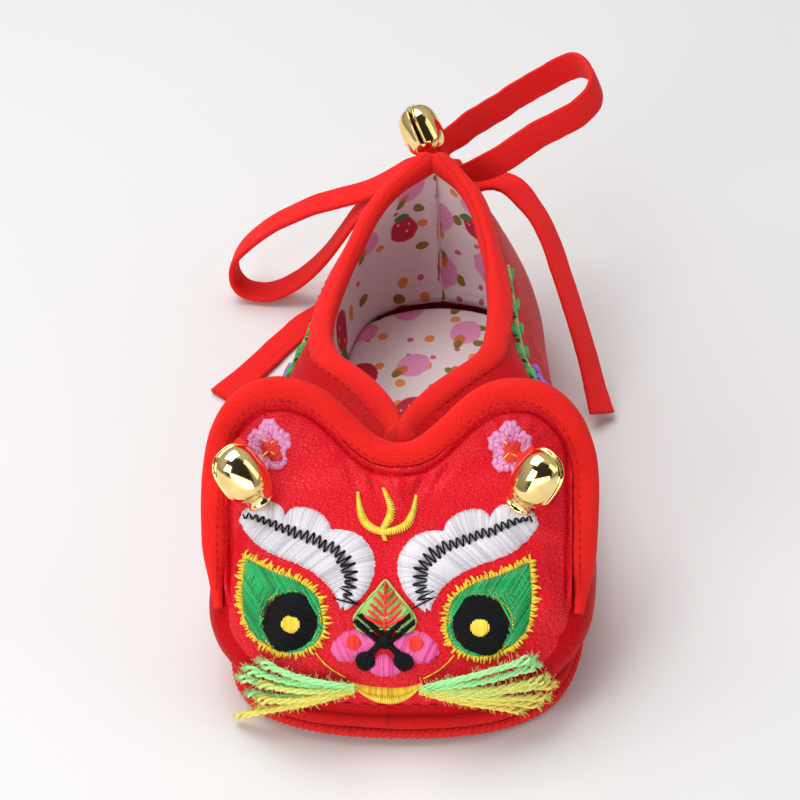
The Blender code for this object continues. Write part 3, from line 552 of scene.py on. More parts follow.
def printed_cotton():
    """White cotton lining with a scattered print: pink rounds, red berries, and small orange and olive spots."""
    made, tree, shader = new_material("printed cotton lining", Roughness=0.88, Sheen_Weight=0.12)
    shader.inputs["Specular IOR Level"].default_value = 0.25
    flat = add_node(tree, "UVMap", uv_map="cloth").outputs[0]
    wobble = add_node(tree, "TexNoise", Vector=flat, Scale=0.35, Detail=1.0)
    flat = add_node(tree, "VectorMath", operation="MULTIPLY_ADD", i0=wobble.outputs["Color"], i1=(0.9,) * 3, i2=flat).outputs[0]

    def cells(pitch, random):
        """Cells scattered about this far apart: the place within its cell, turned by chance, and two chance values."""
        found = add_node(tree, "TexVoronoi", Vector=flat, Scale=1 / pitch, Randomness=random, voronoi_dimensions="2D")
        place = add_node(tree, "VectorMath", operation="SUBTRACT", i0=flat, i1=found.outputs["Position"])
        chance = add_node(tree, "SeparateColor", i0=found.outputs["Color"])
        angle = add_node(tree, "Math", operation="MULTIPLY", i0=chance.outputs[1], i1=6.28)
        turned = add_node(tree, "VectorRotate", Vector=place.outputs[0], Angle=angle.outputs[0], rotation_type="Z_AXIS")
        return turned.outputs[0], chance.outputs[0]

    def oval(place, centre, half):
        """1 inside an oval, with a slightly soft edge."""
        moved = add_node(tree, "VectorMath", operation="SUBTRACT", i0=place, i1=(*centre, 0))
        scaled = add_node(tree, "VectorMath", operation="DIVIDE", i0=moved.outputs[0], i1=(*half, 1))
        flattened = add_node(tree, "VectorMath", operation="MULTIPLY", i0=scaled.outputs[0], i1=(1, 1, 0))
        far = add_node(tree, "VectorMath", operation="LENGTH", i0=flattened.outputs[0])
        return add_node(tree, "MapRange", i0=far.outputs["Value"], i1=1.07, i2=0.95).outputs[0]

    def between(chance, low, high):
        """1 for cells whose chance value lies between two bounds."""
        middle, half = (low + high) / 2, (high - low) / 2
        return add_node(tree, "Math", operation="COMPARE", i0=chance, i1=middle, i2=half).outputs[0]

    def painted(ground, mask, used, colour):
        both = add_node(tree, "Math", operation="MULTIPLY", i0=mask, i1=used)
        return add_node(tree, "Mix", data_type="RGBA", i0=both.outputs[0], i6=ground, i7=(*colour, 1)).outputs[2]

    ground = add_node(tree, "RGB")
    ground.outputs[0].default_value = (0.93, 0.87, 0.88, 1)
    colour = ground.outputs[0]
    place, chance = cells(5.4, 0.62)
    colour = painted(colour, oval(place, (0, 0), (1.25, 1.15)), between(chance, 0.0, 0.16), (0.90, 0.36, 0.08))
    colour = painted(colour, oval(place, (0, 0), (1.6, 1.1)), between(chance, 0.16, 0.36), (0.30, 0.22, 0.03))
    colour = painted(colour, oval(place, (0, 0), (0.75, 0.7)), between(chance, 0.36, 0.58), (0.72, 0.14, 0.26))
    place, chance = cells(12.0, 0.42)
    round_ones, berries = between(chance, 0.0, 0.44), between(chance, 0.44, 0.70)
    colour = painted(colour, oval(place, (0.6, 0), (4.1, 3.5)), round_ones, (0.90, 0.38, 0.66))
    colour = painted(colour, oval(place, (-2.7, 0.6), (2.1, 1.2)), round_ones, (0.78, 0.24, 0.07))
    colour = painted(colour, oval(place, (-4.0, 0.5), (1.4, 0.9)), round_ones, (0.26, 0.22, 0.04))
    colour = painted(colour, oval(place, (-0.6, 0), (4.1, 3.3)), berries, (0.62, 0.03, 0.07))
    colour = painted(colour, oval(place, (3.6, 0.3), (1.1, 1.9)), berries, (0.10, 0.26, 0.10))
    colour = painted(colour, oval(place, (1.4, 1.3), (0.4, 0.3)), berries, (0.85, 0.45, 0.40))
    colour = painted(colour, oval(place, (-1.4, -0.8), (0.4, 0.3)), berries, (0.85, 0.45, 0.40))
    colour = painted(colour, oval(place, (0.7, -1.6), (0.4, 0.3)), berries, (0.85, 0.45, 0.40))
    tree.links.new(colour, shader.inputs["Base Color"])
    warp = add_node(tree, "TexWave", Vector=flat, Scale=0.314 / 0.5, Distortion=0.8, bands_direction="X")
    weft = add_node(tree, "TexWave", Vector=flat, Scale=0.314 / 0.5, Distortion=0.8, bands_direction="Y")
    threads = add_node(tree, "Math", operation="ADD", i0=warp.outputs["Fac"], i1=weft.outputs["Fac"])
    bump = add_node(tree, "Bump", Height=threads.outputs[0], Distance=0.03 * MM, Strength=0.6)
    tree.links.new(bump.outputs[0], shader.inputs["Normal"])
    return made


UPPER_SATIN = satin("red satin", (0.44, 0.001, 0.004), (0.62, 0.003, 0.008), 0.2)
LINING = printed_cotton()
UPPER_OUT = folded(seamed(upper_grid(UPPER_ROWS, RIM_SHORT)), UPPER_FOLDS)
UPPER_OUT += 0.10 * ripple(UPPER_OUT, 13.0, 11)[..., None] * outward(UPPER_OUT)


def make_upper():
    out = outward(UPPER_OUT)
    inner = UPPER_OUT - WALL * out
    inner[:, 0] = UPPER_OUT[:, 0] - WALL * out[:, 1]
    for wide, deep in HEEL_CREASES:
        inner[..., 1] += deep * np.exp(-np.abs(inner[..., 0] - HEEL_MIDDLE) / wide) * (inner[..., 1] > 40) * rise(inner[..., 2], 5.0, 12.0)
    count, tall = UPPER_OUT.shape[:2]
    both = np.concatenate([UPPER_OUT, inner[:, ::-1]], axis=1)
    faces = grid_faces(count, 2 * tall, True, True)
    slots = [0 if k % (2 * tall) < tall else 1 for k in range(len(faces))]
    run = np.cumsum(np.linalg.norm(both - np.roll(both, 1, axis=0), axis=2), axis=0)
    cloth = np.stack([run - run[count // 2], grid_uv(both).reshape(count, 2 * tall, 2)[..., 1]], axis=2)
    cloth[count // 2 + 1 :, :, 0] += 17.0
    upper = solid("upper_satin", both.reshape(-1, 3), faces, [UPPER_SATIN, LINING], cloth.reshape(-1, 2), slots)
    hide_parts("upper")
    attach(upper, "root")


make_upper()


# A padded insole covered in the same printed cotton lies on the sole inside the upper.
# Its edge is rounded, and the middle has a slight crown.
INSOLE_EDGE = [(4.4, 0.0), (3.95, 0.3), (3.8, 0.9), (3.95, 1.4), (4.6, 1.8), (5.6, 1.95)]
INSOLE_CROWN, INSOLE_SHORT = 0.45, 2.6  # it stops a little short of the heel, where the red sole shows


def crowned(ring, columns, crown):
    """Points inside a ring and faces across it from side to side, which rise towards the middle."""
    count = len(ring)
    half = count // 2
    share = np.linspace(0, 1, columns)[1:-1]
    right, left = ring[1:half], ring[:half:-1]
    inner = right[:, None] * (1 - share)[None, :, None] + left[:, None] * share[None, :, None]
    wide = np.linalg.norm(right - left, axis=1) / 60.0
    inner[..., 2] += crown * (4 * share * (1 - share))[None] * np.clip(wide * 1.6, 0, 1)[:, None]
    rows = [[i + 1, *(count + i * len(share) + np.arange(len(share))), count - 1 - i] for i in range(half - 1)]
    faces = [(a[k], b[k], b[k + 1], a[k + 1]) for a, b in zip(rows, rows[1:]) for k in range(columns - 1)]
    faces += [(0, rows[0][k], rows[0][k + 1]) for k in range(columns - 1)]
    faces += [(half, rows[-1][k + 1], rows[-1][k]) for k in range(columns - 1)]
    return inner.reshape(-1, 3), faces


def make_insole():
    low = SOLE_THICK + GAP
    rings = np.stack([sole_ring(inset, 10.0) + [0, 0, low + tall - 10.0] for inset, tall in INSOLE_EDGE])
    rings[..., 2] += 0.10 * ripple(rings, 22.0, 5) * (rings[..., 2] > low + 1.0)
    rings[..., 1] -= INSOLE_SHORT * rise(rings[..., 1], 50.0, 61.0)
    rows, count = rings.shape[:2]
    inner, top = crowned(rings[-1], 40, INSOLE_CROWN)
    points = np.concatenate([rings.reshape(-1, 3), inner])
    first = (rows - 1) * count
    faces = grid_faces(rows, count, ring_columns=True) + [tuple(first + k for k in face)[::-1] for face in top]
    faces += strips_across(0, count)
    insole = solid("insole_pad", points, faces, LINING, uv=points[:, :2] + [7.0, 3.0])
    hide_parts("insole")
    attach(insole, "root")


make_insole()

# The collar is bound with a bias strip of red cotton, folded over the raw edge of satin and lining and
# stitched through. Its two ends meet at the peak of the heel.
COLLAR_TALL, COLLAR_THICK = 5.6, 4.2
BINDING_RED = red_cotton("red bias binding", (0.76, 0.010, 0.009), (0.90, 0.022, 0.016), 0.45, slant=True)
STITCH_RED = thread_material("red stitching", (0.40, 0.003, 0.005), (0.58, 0.006, 0.009), 0.7, gloss=0.15)


def rolled(half_wide, half_thick, sides, power=2.4):
    """Cross-section of a rolled strip, a rounded box: wide and thick offsets in millimetres."""
    turn = 2 * math.pi * (np.arange(sides) + 0.5) / sides
    c, s = np.cos(turn), np.sin(turn)
    return np.stack([
        half_wide * np.sign(c) * np.abs(c) ** (2 / power),
        half_thick * np.sign(s) * np.abs(s) ** (2 / power),
    ], axis=1)


def collar_frame():
    """The middle of the collar's binding, its way up the wall and its way outwards."""
    wall = upper_grid(60)
    tops, ways = wall[:, -1], wall[:, -1] - wall[:, -4]
    ahead = unit(np.roll(tops, -1, axis=0) - np.roll(tops, 1, axis=0))
    inwards = unit(np.cross(ways, ahead))
    up = unit(np.cross(ahead, inwards))
    return tops - COLLAR_TALL / 2 * up + WALL / 2 * inwards, up, -inwards


def running_stitches(line, ups, length, gap, radius, sink=0.25, closed=False):
    """Short stitches along a line: each goes down into the cloth at both ends."""
    stations = along(np.concatenate([line, line[:1]]) if closed else line)
    if closed:
        line, ups = np.concatenate([line, line[:1]]), np.concatenate([ups, ups[:1]])
    count = int(stations[-1] / (length + gap))
    starts = (np.arange(count) + 0.2) * stations[-1] / count
    at = starts[:, None] + np.linspace(0, length, 7)
    points = np.stack([np.interp(at, stations, line[:, k]) for k in range(3)], axis=-1)
    up = unit(np.stack([np.interp(at, stations, ups[:, k]) for k in range(3)], axis=-1))
    arch = np.sin(np.linspace(0, math.pi, 7)) ** 0.6
    return points + up * (radius * 1.3 * arch - sink * (1 - arch))[None, :, None], up


def make_collar_binding():
    middle, up, out = collar_frame()
    section = rolled(COLLAR_TALL / 2, COLLAR_THICK / 2, 30)
    from_heel = np.abs(along(middle) - along(middle)[len(middle) // 2])
    swell = 1 + 0.03 * ripple(middle, 12.0, 21)
    swell += 0.20 * np.exp(-(((from_heel - 3.4) / 3.4) ** 2)) - 0.42 * np.exp(-((from_heel / 0.7) ** 2))
    grid = middle[:, None] + swell[:, None, None] * (section[:, :1] * up[:, None] + section[:, 1:] * out[:, None])
    crimp = 0.07 * np.sin(along(middle) * 2 * math.pi / 2.7 + 2 * ripple(middle, 15.0, 8))
    low = np.clip(-section[:, 0] / (COLLAR_TALL / 2), 0, 1) ** 2
    grid += (crimp[:, None] * low)[..., None] * out[:, None] * np.sign(section[:, 1])[None, :, None]
    count, sides = grid.shape[:2]
    faces = grid_faces(count, sides, True, True)
    binding = solid("collar_bias_binding", grid.reshape(-1, 3), faces, BINDING_RED, grid_uv(grid))
    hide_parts("collar_binding")
    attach(binding, "root")
    for side, way in (("outside", 1), ("inside", -1)):
        line = middle - up * COLLAR_TALL * 0.40 + way * out * (COLLAR_THICK * 0.32)
        lines, ups = running_stitches(line, way * out * 0.8 - up * 0.6, 1.5, 0.9, 0.12, closed=True)
        stitches = strand_solid(f"collar_stitches_{side}", lines, 0.15, ups, 6, STITCH_RED)
        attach(stitches, "root")


make_collar_binding()

# The upper is sewn to the sole all round with strong red thread, just above the sole's edge.
# Each long stitch pulls the satin in a little.
def make_foot_stitches():
    heights = along_rows(UPPER_OUT)
    line = np.stack([[np.interp(FOOT_ROW_TALL, tall, column[:, k]) for k in range(3)] for tall, column in zip(heights, UPPER_OUT)])
    out = outward(UPPER_OUT)[:, 3]
    lines, ups = running_stitches(line, out, 2.1, 1.3, 0.24, closed=True)
    stitches = strand_solid("foot_stitches", lines, 0.24, ups, 6, STITCH_RED)
    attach(stitches, "root")


make_foot_stitches()

# The tiger face is a padded flap of satin on the toe. It is free along its top, where two round ears stand
# up, and lower down it is pulled smooth over the toe and caught in the sole's seam.
FACE_LEAN = math.radians(42.3)
FACE_FOOT = np.array([-0.8, -64.0, 5.0])
FACE_THICK = 3.0
FACE_MIDDLE_B = (0.8, 4.1, 8.6, 14.7, 26.8, 36.3, 44.5, 49.0, 56.0, 61.0, 67.0)
FACE_MIDDLE_H = (0.9, 3.7, 5.7, 6.5, 7.2, 6.0, 5.2, 4.4, 5.0, 6.6, 9.0)
FACE_DROP_B = (4.0, 10.0, 15.0, 20.0, 30.0, 40.0, 50.0, 60.0)
FACE_DROP_H = (20.0, 15.0, 12.5, 9.5, 5.0, 2.6, 1.2, 0.5)
FACE_HALF_WIDTH = 38.4
# Middle of the rolled binding, right half, a across and b up the face, and the satin's edge just inside it
BINDING_PATH = [
    (0.0, 51.8), (3.9, 52.6), (7.9, 55.2), (11.8, 58.8), (16.0, 62.3), (20.4, 64.2), (24.6, 64.5), (28.8, 63.4),
    (32.6, 60.4), (35.3, 56.0), (36.7, 50.4), (37.0, 44.0), (36.9, 37.0), (36.6, 30.0), (36.2, 24.6), (35.8, 21.2),
]
FACE_EDGE_A = (0.0, 4.5, 8.4, 12.0, 16.0, 20.0, 23.5, 27.3, 30.6, 33.0, 34.4)
FACE_TOP_B = (49.2, 49.9, 52.1, 55.7, 59.4, 61.6, 62.1, 61.4, 58.9, 55.2, 49.0)
FACE_BOTTOM_A = (0.0, 12.0, 20.0, 26.0, 30.0, 34.4)
FACE_BOTTOM_B = (0.2, 0.6, 2.6, 6.0, 10.0, 15.0)
# Creases of the padding: place a, b, the way that it runs, length, width and depth
FACE_CREASES = [
    ((-32.6, 33.0), (0.15, 1.0), 16.0, 2.2, -1.9),
    ((-31.0, 24.0), (0.5, -1.0), 9.0, 3.0, 1.3),
    ((32.0, 29.5), (-0.1, 1.0), 9.0, 2.4, -2.0),
    ((30.8, 22.5), (0.8, 0.6), 7.0, 3.0, 1.7),
    ((31.5, 17.0), (1.0, -0.3), 7.0, 2.2, -1.4),
    ((30.0, 39.0), (0.3, 1.0), 9.0, 3.2, 0.8),
    ((-31.0, 44.0), (0.1, 1.0), 9.0, 3.0, 0.6),
    ((-4.4, 46.0), (-0.35, 1.0), 7.0, 0.9, -1.3),
    ((4.4, 45.8), (0.4, 1.0), 7.0, 0.9, -1.3),
    ((0.3, 46.2), (0.0, 1.0), 7.0, 2.0, 1.1),
    ((-9.2, 48.0), (-0.6, 1.0), 7.0, 0.9, -0.9),
    ((9.2, 48.3), (0.6, 1.0), 7.0, 0.9, -0.9),
    ((-1.5, 31.0), (0.0, 1.0), 16.0, 3.4, -0.6),
    ((-15.0, 45.0), (1.0, 0.2), 14.0, 4.0, 0.5),
    ((15.0, 46.0), (1.0, -0.2), 14.0, 4.0, 0.5),
]
UP_FACE = np.array([0.0, math.cos(FACE_LEAN), math.sin(FACE_LEAN)])
OUT_FACE = np.array([0.0, -math.sin(FACE_LEAN), math.cos(FACE_LEAN)])
CHART_STEP = 0.3
CHART_A, CHART_B = np.arange(-42, 42.1, CHART_STEP), np.arange(-4, 72.1, CHART_STEP)


def on_chart(a, b, height):
    """Places a across and b up the face's chart, at this height above it."""
    a, b, height = (np.asarray(x, float)[..., None] for x in (a, b, height))
    return FACE_FOOT + np.array([1.0, 0, 0]) * a + UP_FACE * b + OUT_FACE * height


def vamp_chart():
    """Height of the upper above the face's chart, on a grid."""
    count, tall = UPPER_OUT.shape[:2]
    skin = BVHTree.FromPolygons(UPPER_OUT.reshape(-1, 3).tolist(), grid_faces(count, tall, True))
    heights = np.full((len(CHART_A), len(CHART_B)), -25.0)
    for i, a in enumerate(CHART_A):
        for k, b in enumerate(CHART_B):
            hit = skin.ray_cast(Vector(on_chart(a, b, 60.0)), Vector(-OUT_FACE))
            if hit[0] is not None:
                heights[i, k] = 60.0 - hit[3]
        found = np.flatnonzero(heights[i] > -25)
        if len(found):
            first = found[0]
            heights[i, :first] = heights[i, first] - 1.3 * (CHART_B[first] - CHART_B[:first])
    return heights


def read_chart(chart, a, b):
    """A chart's value between its grid points."""
    x = np.clip((np.asarray(a, float) - CHART_A[0]) / CHART_STEP, 0, len(CHART_A) - 1.001)
    y = np.clip((np.asarray(b, float) - CHART_B[0]) / CHART_STEP, 0, len(CHART_B) - 1.001)
    i, k = x.astype(int), y.astype(int)
    s, t = x - i, y - k
    low = chart[i, k] * (1 - s) + chart[i + 1, k] * s
    high = chart[i, k + 1] * (1 - s) + chart[i + 1, k + 1] * s
    return low * (1 - t) + high * t


def bare_face(a, b):
    """Height of the padded face above the chart before its seams and creases."""
    middle = spline(FACE_MIDDLE_B, FACE_MIDDLE_H, np.clip(b, 0.8, 67.0).ravel()).reshape(b.shape)
    below = np.clip(0.8 - b, 0, None)
    return middle - 1.3 * below - np.interp(b, FACE_DROP_B, FACE_DROP_H) * (np.abs(a) / FACE_HALF_WIDTH) ** 4


def larger(one, other, soft):
    """The larger of two surfaces, with a soft join."""
    return 0.5 * (one + other + np.sqrt((one - other) ** 2 + soft**2))


def to_path(a, b, path):
    """How far places on the chart are from a line on it, and how far along it they are."""
    stations, spots = along(path), np.stack([a, b], axis=-1)
    best, where = np.full(a.shape, 1e9), np.zeros(a.shape)
    for start, end, run in zip(path, path[1:], stations):
        way = end - start
        share = np.clip(((spots - start) @ way) / (way @ way), 0, 1)
        apart = np.linalg.norm(spots - start - share[..., None] * way, axis=-1)
        where = np.where(apart < best, run + share * math.sqrt(way @ way), where)
        best = np.minimum(best, apart)
    return best, where


def both_halves(path):
    path = np.array(path, float)
    return np.concatenate([path[:0:-1] * [-1, 1], path])


def face_seam():
    """The line where the satin meets its binding."""
    top = np.stack([FACE_EDGE_A, FACE_TOP_B], axis=1) + [0.0, -1.3]
    side = [(33.4, 44.0), (33.5, 37.0), (33.4, 30.0), (33.2, 22.0)]
    return finer(both_halves([*top[:-1], (33.2, 49.5), *side]), 200)


VAMP = vamp_chart()


def face_chart():
    """Height of the finished satin face above the chart, on a grid."""
    a, b = np.meshgrid(CHART_A, CHART_B, indexing="ij")
    height = larger(bare_face(a, b), VAMP + 1.2, 1.2)
    apart, run = to_path(a, b, face_seam())
    height -= 1.5 * np.exp(-np.abs(apart / 0.34) ** 1.5) + 0.35 * np.exp(-((apart / 1.3) ** 2))
    height += 0.30 * np.exp(-(((apart - 4.0) / 2.5) ** 2))
    beat = np.sin(run * 2 * math.pi / 4.4 + 2.2 * ripple(run[..., None] * [1.0, 0.0], 17.0, 9))
    height += 0.30 * beat * np.exp(-apart / 3.6) * (1 - np.exp(-apart / 0.9))
    spots = np.stack([a, b], axis=-1)
    for place, way, length, width, depth in FACE_CREASES:
        way = unit(np.array(way))
        gone = spots - np.array(place)
        lengthways, across = gone @ way, gone @ [-way[1], way[0]]
        across = across + 0.012 * lengthways**2
        height += depth * np.exp(-((2 * lengthways / length) ** 2)) * np.exp(-((across / width) ** 2))
    height += 0.09 * ripple(spots, 11.0, 14)
    bottom = np.interp(np.abs(a), FACE_BOTTOM_A, FACE_BOTTOM_B)
    side = rise(34.6 - np.abs(a), 0.0, 3.0) + rise(b, 21.0, 26.0)
    keep = rise(b - bottom, 0.5, 7.0) * np.clip(side, 0, 1)
    return VAMP - 0.45 + (height - VAMP + 0.45) * keep


FACE = face_chart()
FACE_SATIN = satin("padded red satin", (0.60, 0.005, 0.014), (0.86, 0.014, 0.030), 0.6)


def make_face():
    columns, rows = 189, 165
    half = np.sin(np.linspace(0, math.pi / 2, columns // 2 + 1)) * FACE_EDGE_A[-1]
    a = np.repeat(np.concatenate([-half[:0:-1], half])[:, None], rows, axis=1)
    low = np.interp(np.abs(a[:, 0]), FACE_BOTTOM_A, FACE_BOTTOM_B)
    high = spline(FACE_EDGE_A, FACE_TOP_B, np.abs(a[:, 0]))
    b = low[:, None] + (high - low)[:, None] * np.linspace(0, 1, rows)
    top = read_chart(FACE, a, b)
    under = np.maximum(read_chart(VAMP, a, b) + 0.1, top - FACE_THICK)
    under = np.minimum(under, top - 0.25)
    points = np.concatenate([on_chart(a, b, top).reshape(-1, 3), on_chart(a, b, under).reshape(-1, 3)])
    count = columns * rows
    faces = grid_faces(columns, rows) + [f[::-1] for f in grid_faces(columns, rows, first=count)]
    edge = [i * rows for i in range(columns)] + [(columns - 1) * rows + k for k in range(1, rows)]
    edge += [i * rows + rows - 1 for i in range(columns - 2, -1, -1)] + list(range(rows - 2, 0, -1))
    faces += [(p, p + count, q + count, q) for p, q in zip(edge, edge[1:] + edge[:1])]
    uv = np.tile(np.stack([a.ravel(), b.ravel()], axis=1), (2, 1))
    face = solid("tiger_face", points, faces, FACE_SATIN, uv)
    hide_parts("face_panel")
    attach(face, "root")


make_face()

# The flap's edge is bound with the same bias strip, rolled round a filler. It follows both ears and the dip
# between them, and its two ends are tacked down low on the sides of the toe.
FACE_BINDING_WIDE, FACE_BINDING_THICK = 5.2, 4.4


def end_caps(rows, count):
    """The two faces that close a stack of rings."""
    return [tuple(range(count)), tuple(range((rows - 1) * count, rows * count))[::-1]]


def make_face_binding():
    path = finer(both_halves(BINDING_PATH), 600)
    out = unit(np.gradient(path, axis=0))[:, ::-1] * [-1, 1]
    a, b = path.T
    vamp = np.max([read_chart(VAMP, a + d * out[:, 0], b + d * out[:, 1]) for d in (-2.0, 0.0, 2.0)], axis=0)
    height = np.maximum(bare_face(a, b) - FACE_THICK / 2, vamp + GAP + FACE_BINDING_THICK / 2)
    height = spline(along(path)[::12], height[::12], along(path))
    ends = rise(np.minimum(along(path), along(path)[-1] - along(path)), -1.0, 14.0)
    height -= 2.4 * (1 - ends)
    line = on_chart(a, b, height)
    wide = on_chart(a + out[:, 0], b + out[:, 1], bare_face(a + out[:, 0], b + out[:, 1]))
    wide = wide - on_chart(a, b, bare_face(a, b))
    thick = unit(np.cross(unit(np.gradient(line, axis=0)), wide))
    wide = np.cross(thick, unit(np.gradient(line, axis=0)))
    section = rolled(FACE_BINDING_WIDE / 2, FACE_BINDING_THICK / 2, 30, 2.2)
    swell = (1 + 0.03 * ripple(line, 14.0, 31)) * (0.36 + 0.64 * ends)
    grid = line[:, None] + swell[:, None, None] * (section[:, :1] * wide[:, None] + section[:, 1:] * thick[:, None])
    inner = np.clip(-section[:, 0] / (FACE_BINDING_WIDE / 2), 0, 1) ** 2
    crimp = 0.08 * np.sin(along(line) * 2 * math.pi / 2.6 + 2 * ripple(line, 18.0, 12))
    grid += (crimp[:, None] * inner)[..., None] * wide[:, None]
    count, sides = grid.shape[:2]
    faces = grid_faces(count, sides, False, True)
    faces += end_caps(count, sides)
    binding = solid("face_rolled_binding", grid.reshape(-1, 3), faces, BINDING_RED, grid_uv(grid))
    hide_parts("face_binding")
    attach(binding, "root")
    row = (line - 1.55 * wide + 1.72 * thick)[12:-12]
    lines, ups = running_stitches(row, (thick - 0.6 * wide)[12:-12], 1.1, 0.6, 0.14)
    stitches = strand_solid("face_binding_stitches", lines, 0.17, ups, 5, STITCH_RED)
    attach(stitches, "root")


make_face_binding()

# Before it is padded the face is embroidered with bright floss. Each shape is filled with stitches lying side
# by side over a little wadding, from edge to edge.
FLOSS, PITCH = 0.26, 0.42
AXIS_A = -1.7


def on_satin(spots, proud):
    """Points this far out from the finished face, and the way out there."""
    a, b = spots[..., 0], spots[..., 1]
    slope_a = (read_chart(FACE, a + 0.9, b) - read_chart(FACE, a - 0.9, b)) / 1.8
    slope_b = (read_chart(FACE, a, b + 0.9) - read_chart(FACE, a, b - 0.9)) / 1.8
    out = unit(OUT_FACE - slope_a[..., None] * [1.0, 0, 0] - slope_b[..., None] * UP_FACE)
    return on_chart(a, b, read_chart(FACE, a, b)) + np.asarray(proud)[..., None] * out, out


def filled(outlines, angle, pitch=PITCH, ragged=0.12, seed=1):
    """Where side-by-side stitches start and end to fill the outlines, running at this angle in degrees."""
    chance = np.random.default_rng(seed)
    turn = math.radians(angle)
    frame_ways = np.array([[math.cos(turn), -math.sin(turn)], [math.sin(turn), math.cos(turn)]])
    rings = [np.array(outline, float) @ frame_ways for outline in outlines]
    low, high = min(ring[:, 1].min() for ring in rings), max(ring[:, 1].max() for ring in rings)
    segments = []
    for y in np.arange(low + pitch / 3, high, pitch):
        crossings = []
        for ring in rings:
            after = np.roll(ring, -1, axis=0)
            hit = (ring[:, 1] > y) != (after[:, 1] > y)
            share = (y - ring[hit, 1]) / (after[hit, 1] - ring[hit, 1])
            crossings += list(ring[hit, 0] + share * (after[hit, 0] - ring[hit, 0]))
        crossings = sorted(crossings)
        for start, end in zip(crossings[::2], crossings[1::2]):
            if end - start > 0.35:
                segments.append([(start - chance.uniform(0, ragged), y), (end + chance.uniform(0, ragged), y)])
    return np.array(segments) @ frame_ways.T


def sewn(segments, padding, base=0.0, radius=FLOSS, steps=7):
    """Stitches over padding, and over a base of other stitches: lines in space, thickness and the way out."""
    share = np.linspace(0, 1, steps)[:, None]
    spots = segments[:, None, 0] * (1 - share) + segments[:, None, 1] * share
    arch = np.sin(math.pi * share[:, 0]) ** 0.55
    reach = np.linalg.norm(segments[:, 1] - segments[:, 0], axis=1)
    height = base + radius * 0.75 * arch - radius * 0.8 * (1 - arch)
    height = height + padding * np.clip(reach / 3, 0.25, 1)[:, None] * arch
    lines, out = on_satin(spots, height)
    return lines, np.broadcast_to(radius * (0.6 + 0.4 * arch), lines.shape[:2]), out


def embroider(name, colour, groups, seed=1):
    """One colour's stitches as one piece. Each group is segments on the face, then what sewn takes with them."""
    sets = [sewn(np.asarray(segments, float), *how) for segments, *how in groups]
    lines, radii, outs = (np.concatenate(part) for part in zip(*sets))
    piece = strand_solid(name, lines, radii, outs, 5, colour, seed=seed)
    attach(piece, "root")


def sides(points):
    """A shape charted as distance from the face's middle and height, on both sides of it."""
    points = np.array(points, float)
    return [points * [side, 1] + [AXIS_A, 0] for side in (-1, 1)]


def round_outline(centre, half, count=48):
    turn = 2 * math.pi * np.arange(count) / count
    return np.array(centre) + np.stack([half[0] * np.cos(turn), half[1] * np.sin(turn)], axis=1)


def beside(one, other, count):
    """Stitches from one line across to another, spaced evenly along both."""
    return np.stack([finer(one, count), finer(other, count)], axis=1)


def floss(name, low, high, roughness=0.36, gloss=0.5):
    return thread_material(name, low, high, roughness, sheen=0.0, gloss=gloss)


GREEN = floss("green floss", (0.001, 0.16, 0.035), (0.012, 0.50, 0.13), 0.22, 0.7)
BLACK = floss("black floss", (0.002, 0.002, 0.003), (0.008, 0.008, 0.010), 0.6, 0.15)
GOLD = floss("gold floss", (0.60, 0.32, 0.010), (0.98, 0.68, 0.04), 0.3)
YELLOW = floss("yellow floss", (0.88, 0.58, 0.02), (1.0, 0.80, 0.09), 0.35)
WHITE = floss("white floss", (0.56, 0.53, 0.60), (0.84, 0.81, 0.87), 0.3)
PINK = floss("pink floss", (0.72, 0.17, 0.48), (0.90, 0.42, 0.70))
DEEP_PINK = floss("deep pink floss", (0.66, 0.03, 0.22), (0.92, 0.16, 0.46))
RED_FLOSS = floss("red floss", (0.70, 0.012, 0.012), (0.95, 0.045, 0.03))
LEAF = floss("leaf floss", (0.20, 0.46, 0.08), (0.46, 0.74, 0.22))

# The eyes are green drops with a black pupil, a gold light in it and a spiked gold edge.
PUPIL, PUPIL_RADIUS = (18.7, 18.7), 6.0
EYE_EDGE = [
    (28.2, 31.6), (24.8, 29.9), (21.7, 28.5), (18.1, 27.3), (15.1, 25.6), (13.1, 23.4), (12.1, 20.4), (12.0, 17.5),
    (13.5, 14.5), (16.0, 13.0), (18.8, 12.5), (22.2, 13.2), (25.1, 14.9), (27.2, 17.6), (28.4, 20.5), (28.8, 23.8),
    (28.7, 26.7), (28.5, 29.2),
]
SPIKE_PITCH, SPIKE_LONG = 1.25, 1.25


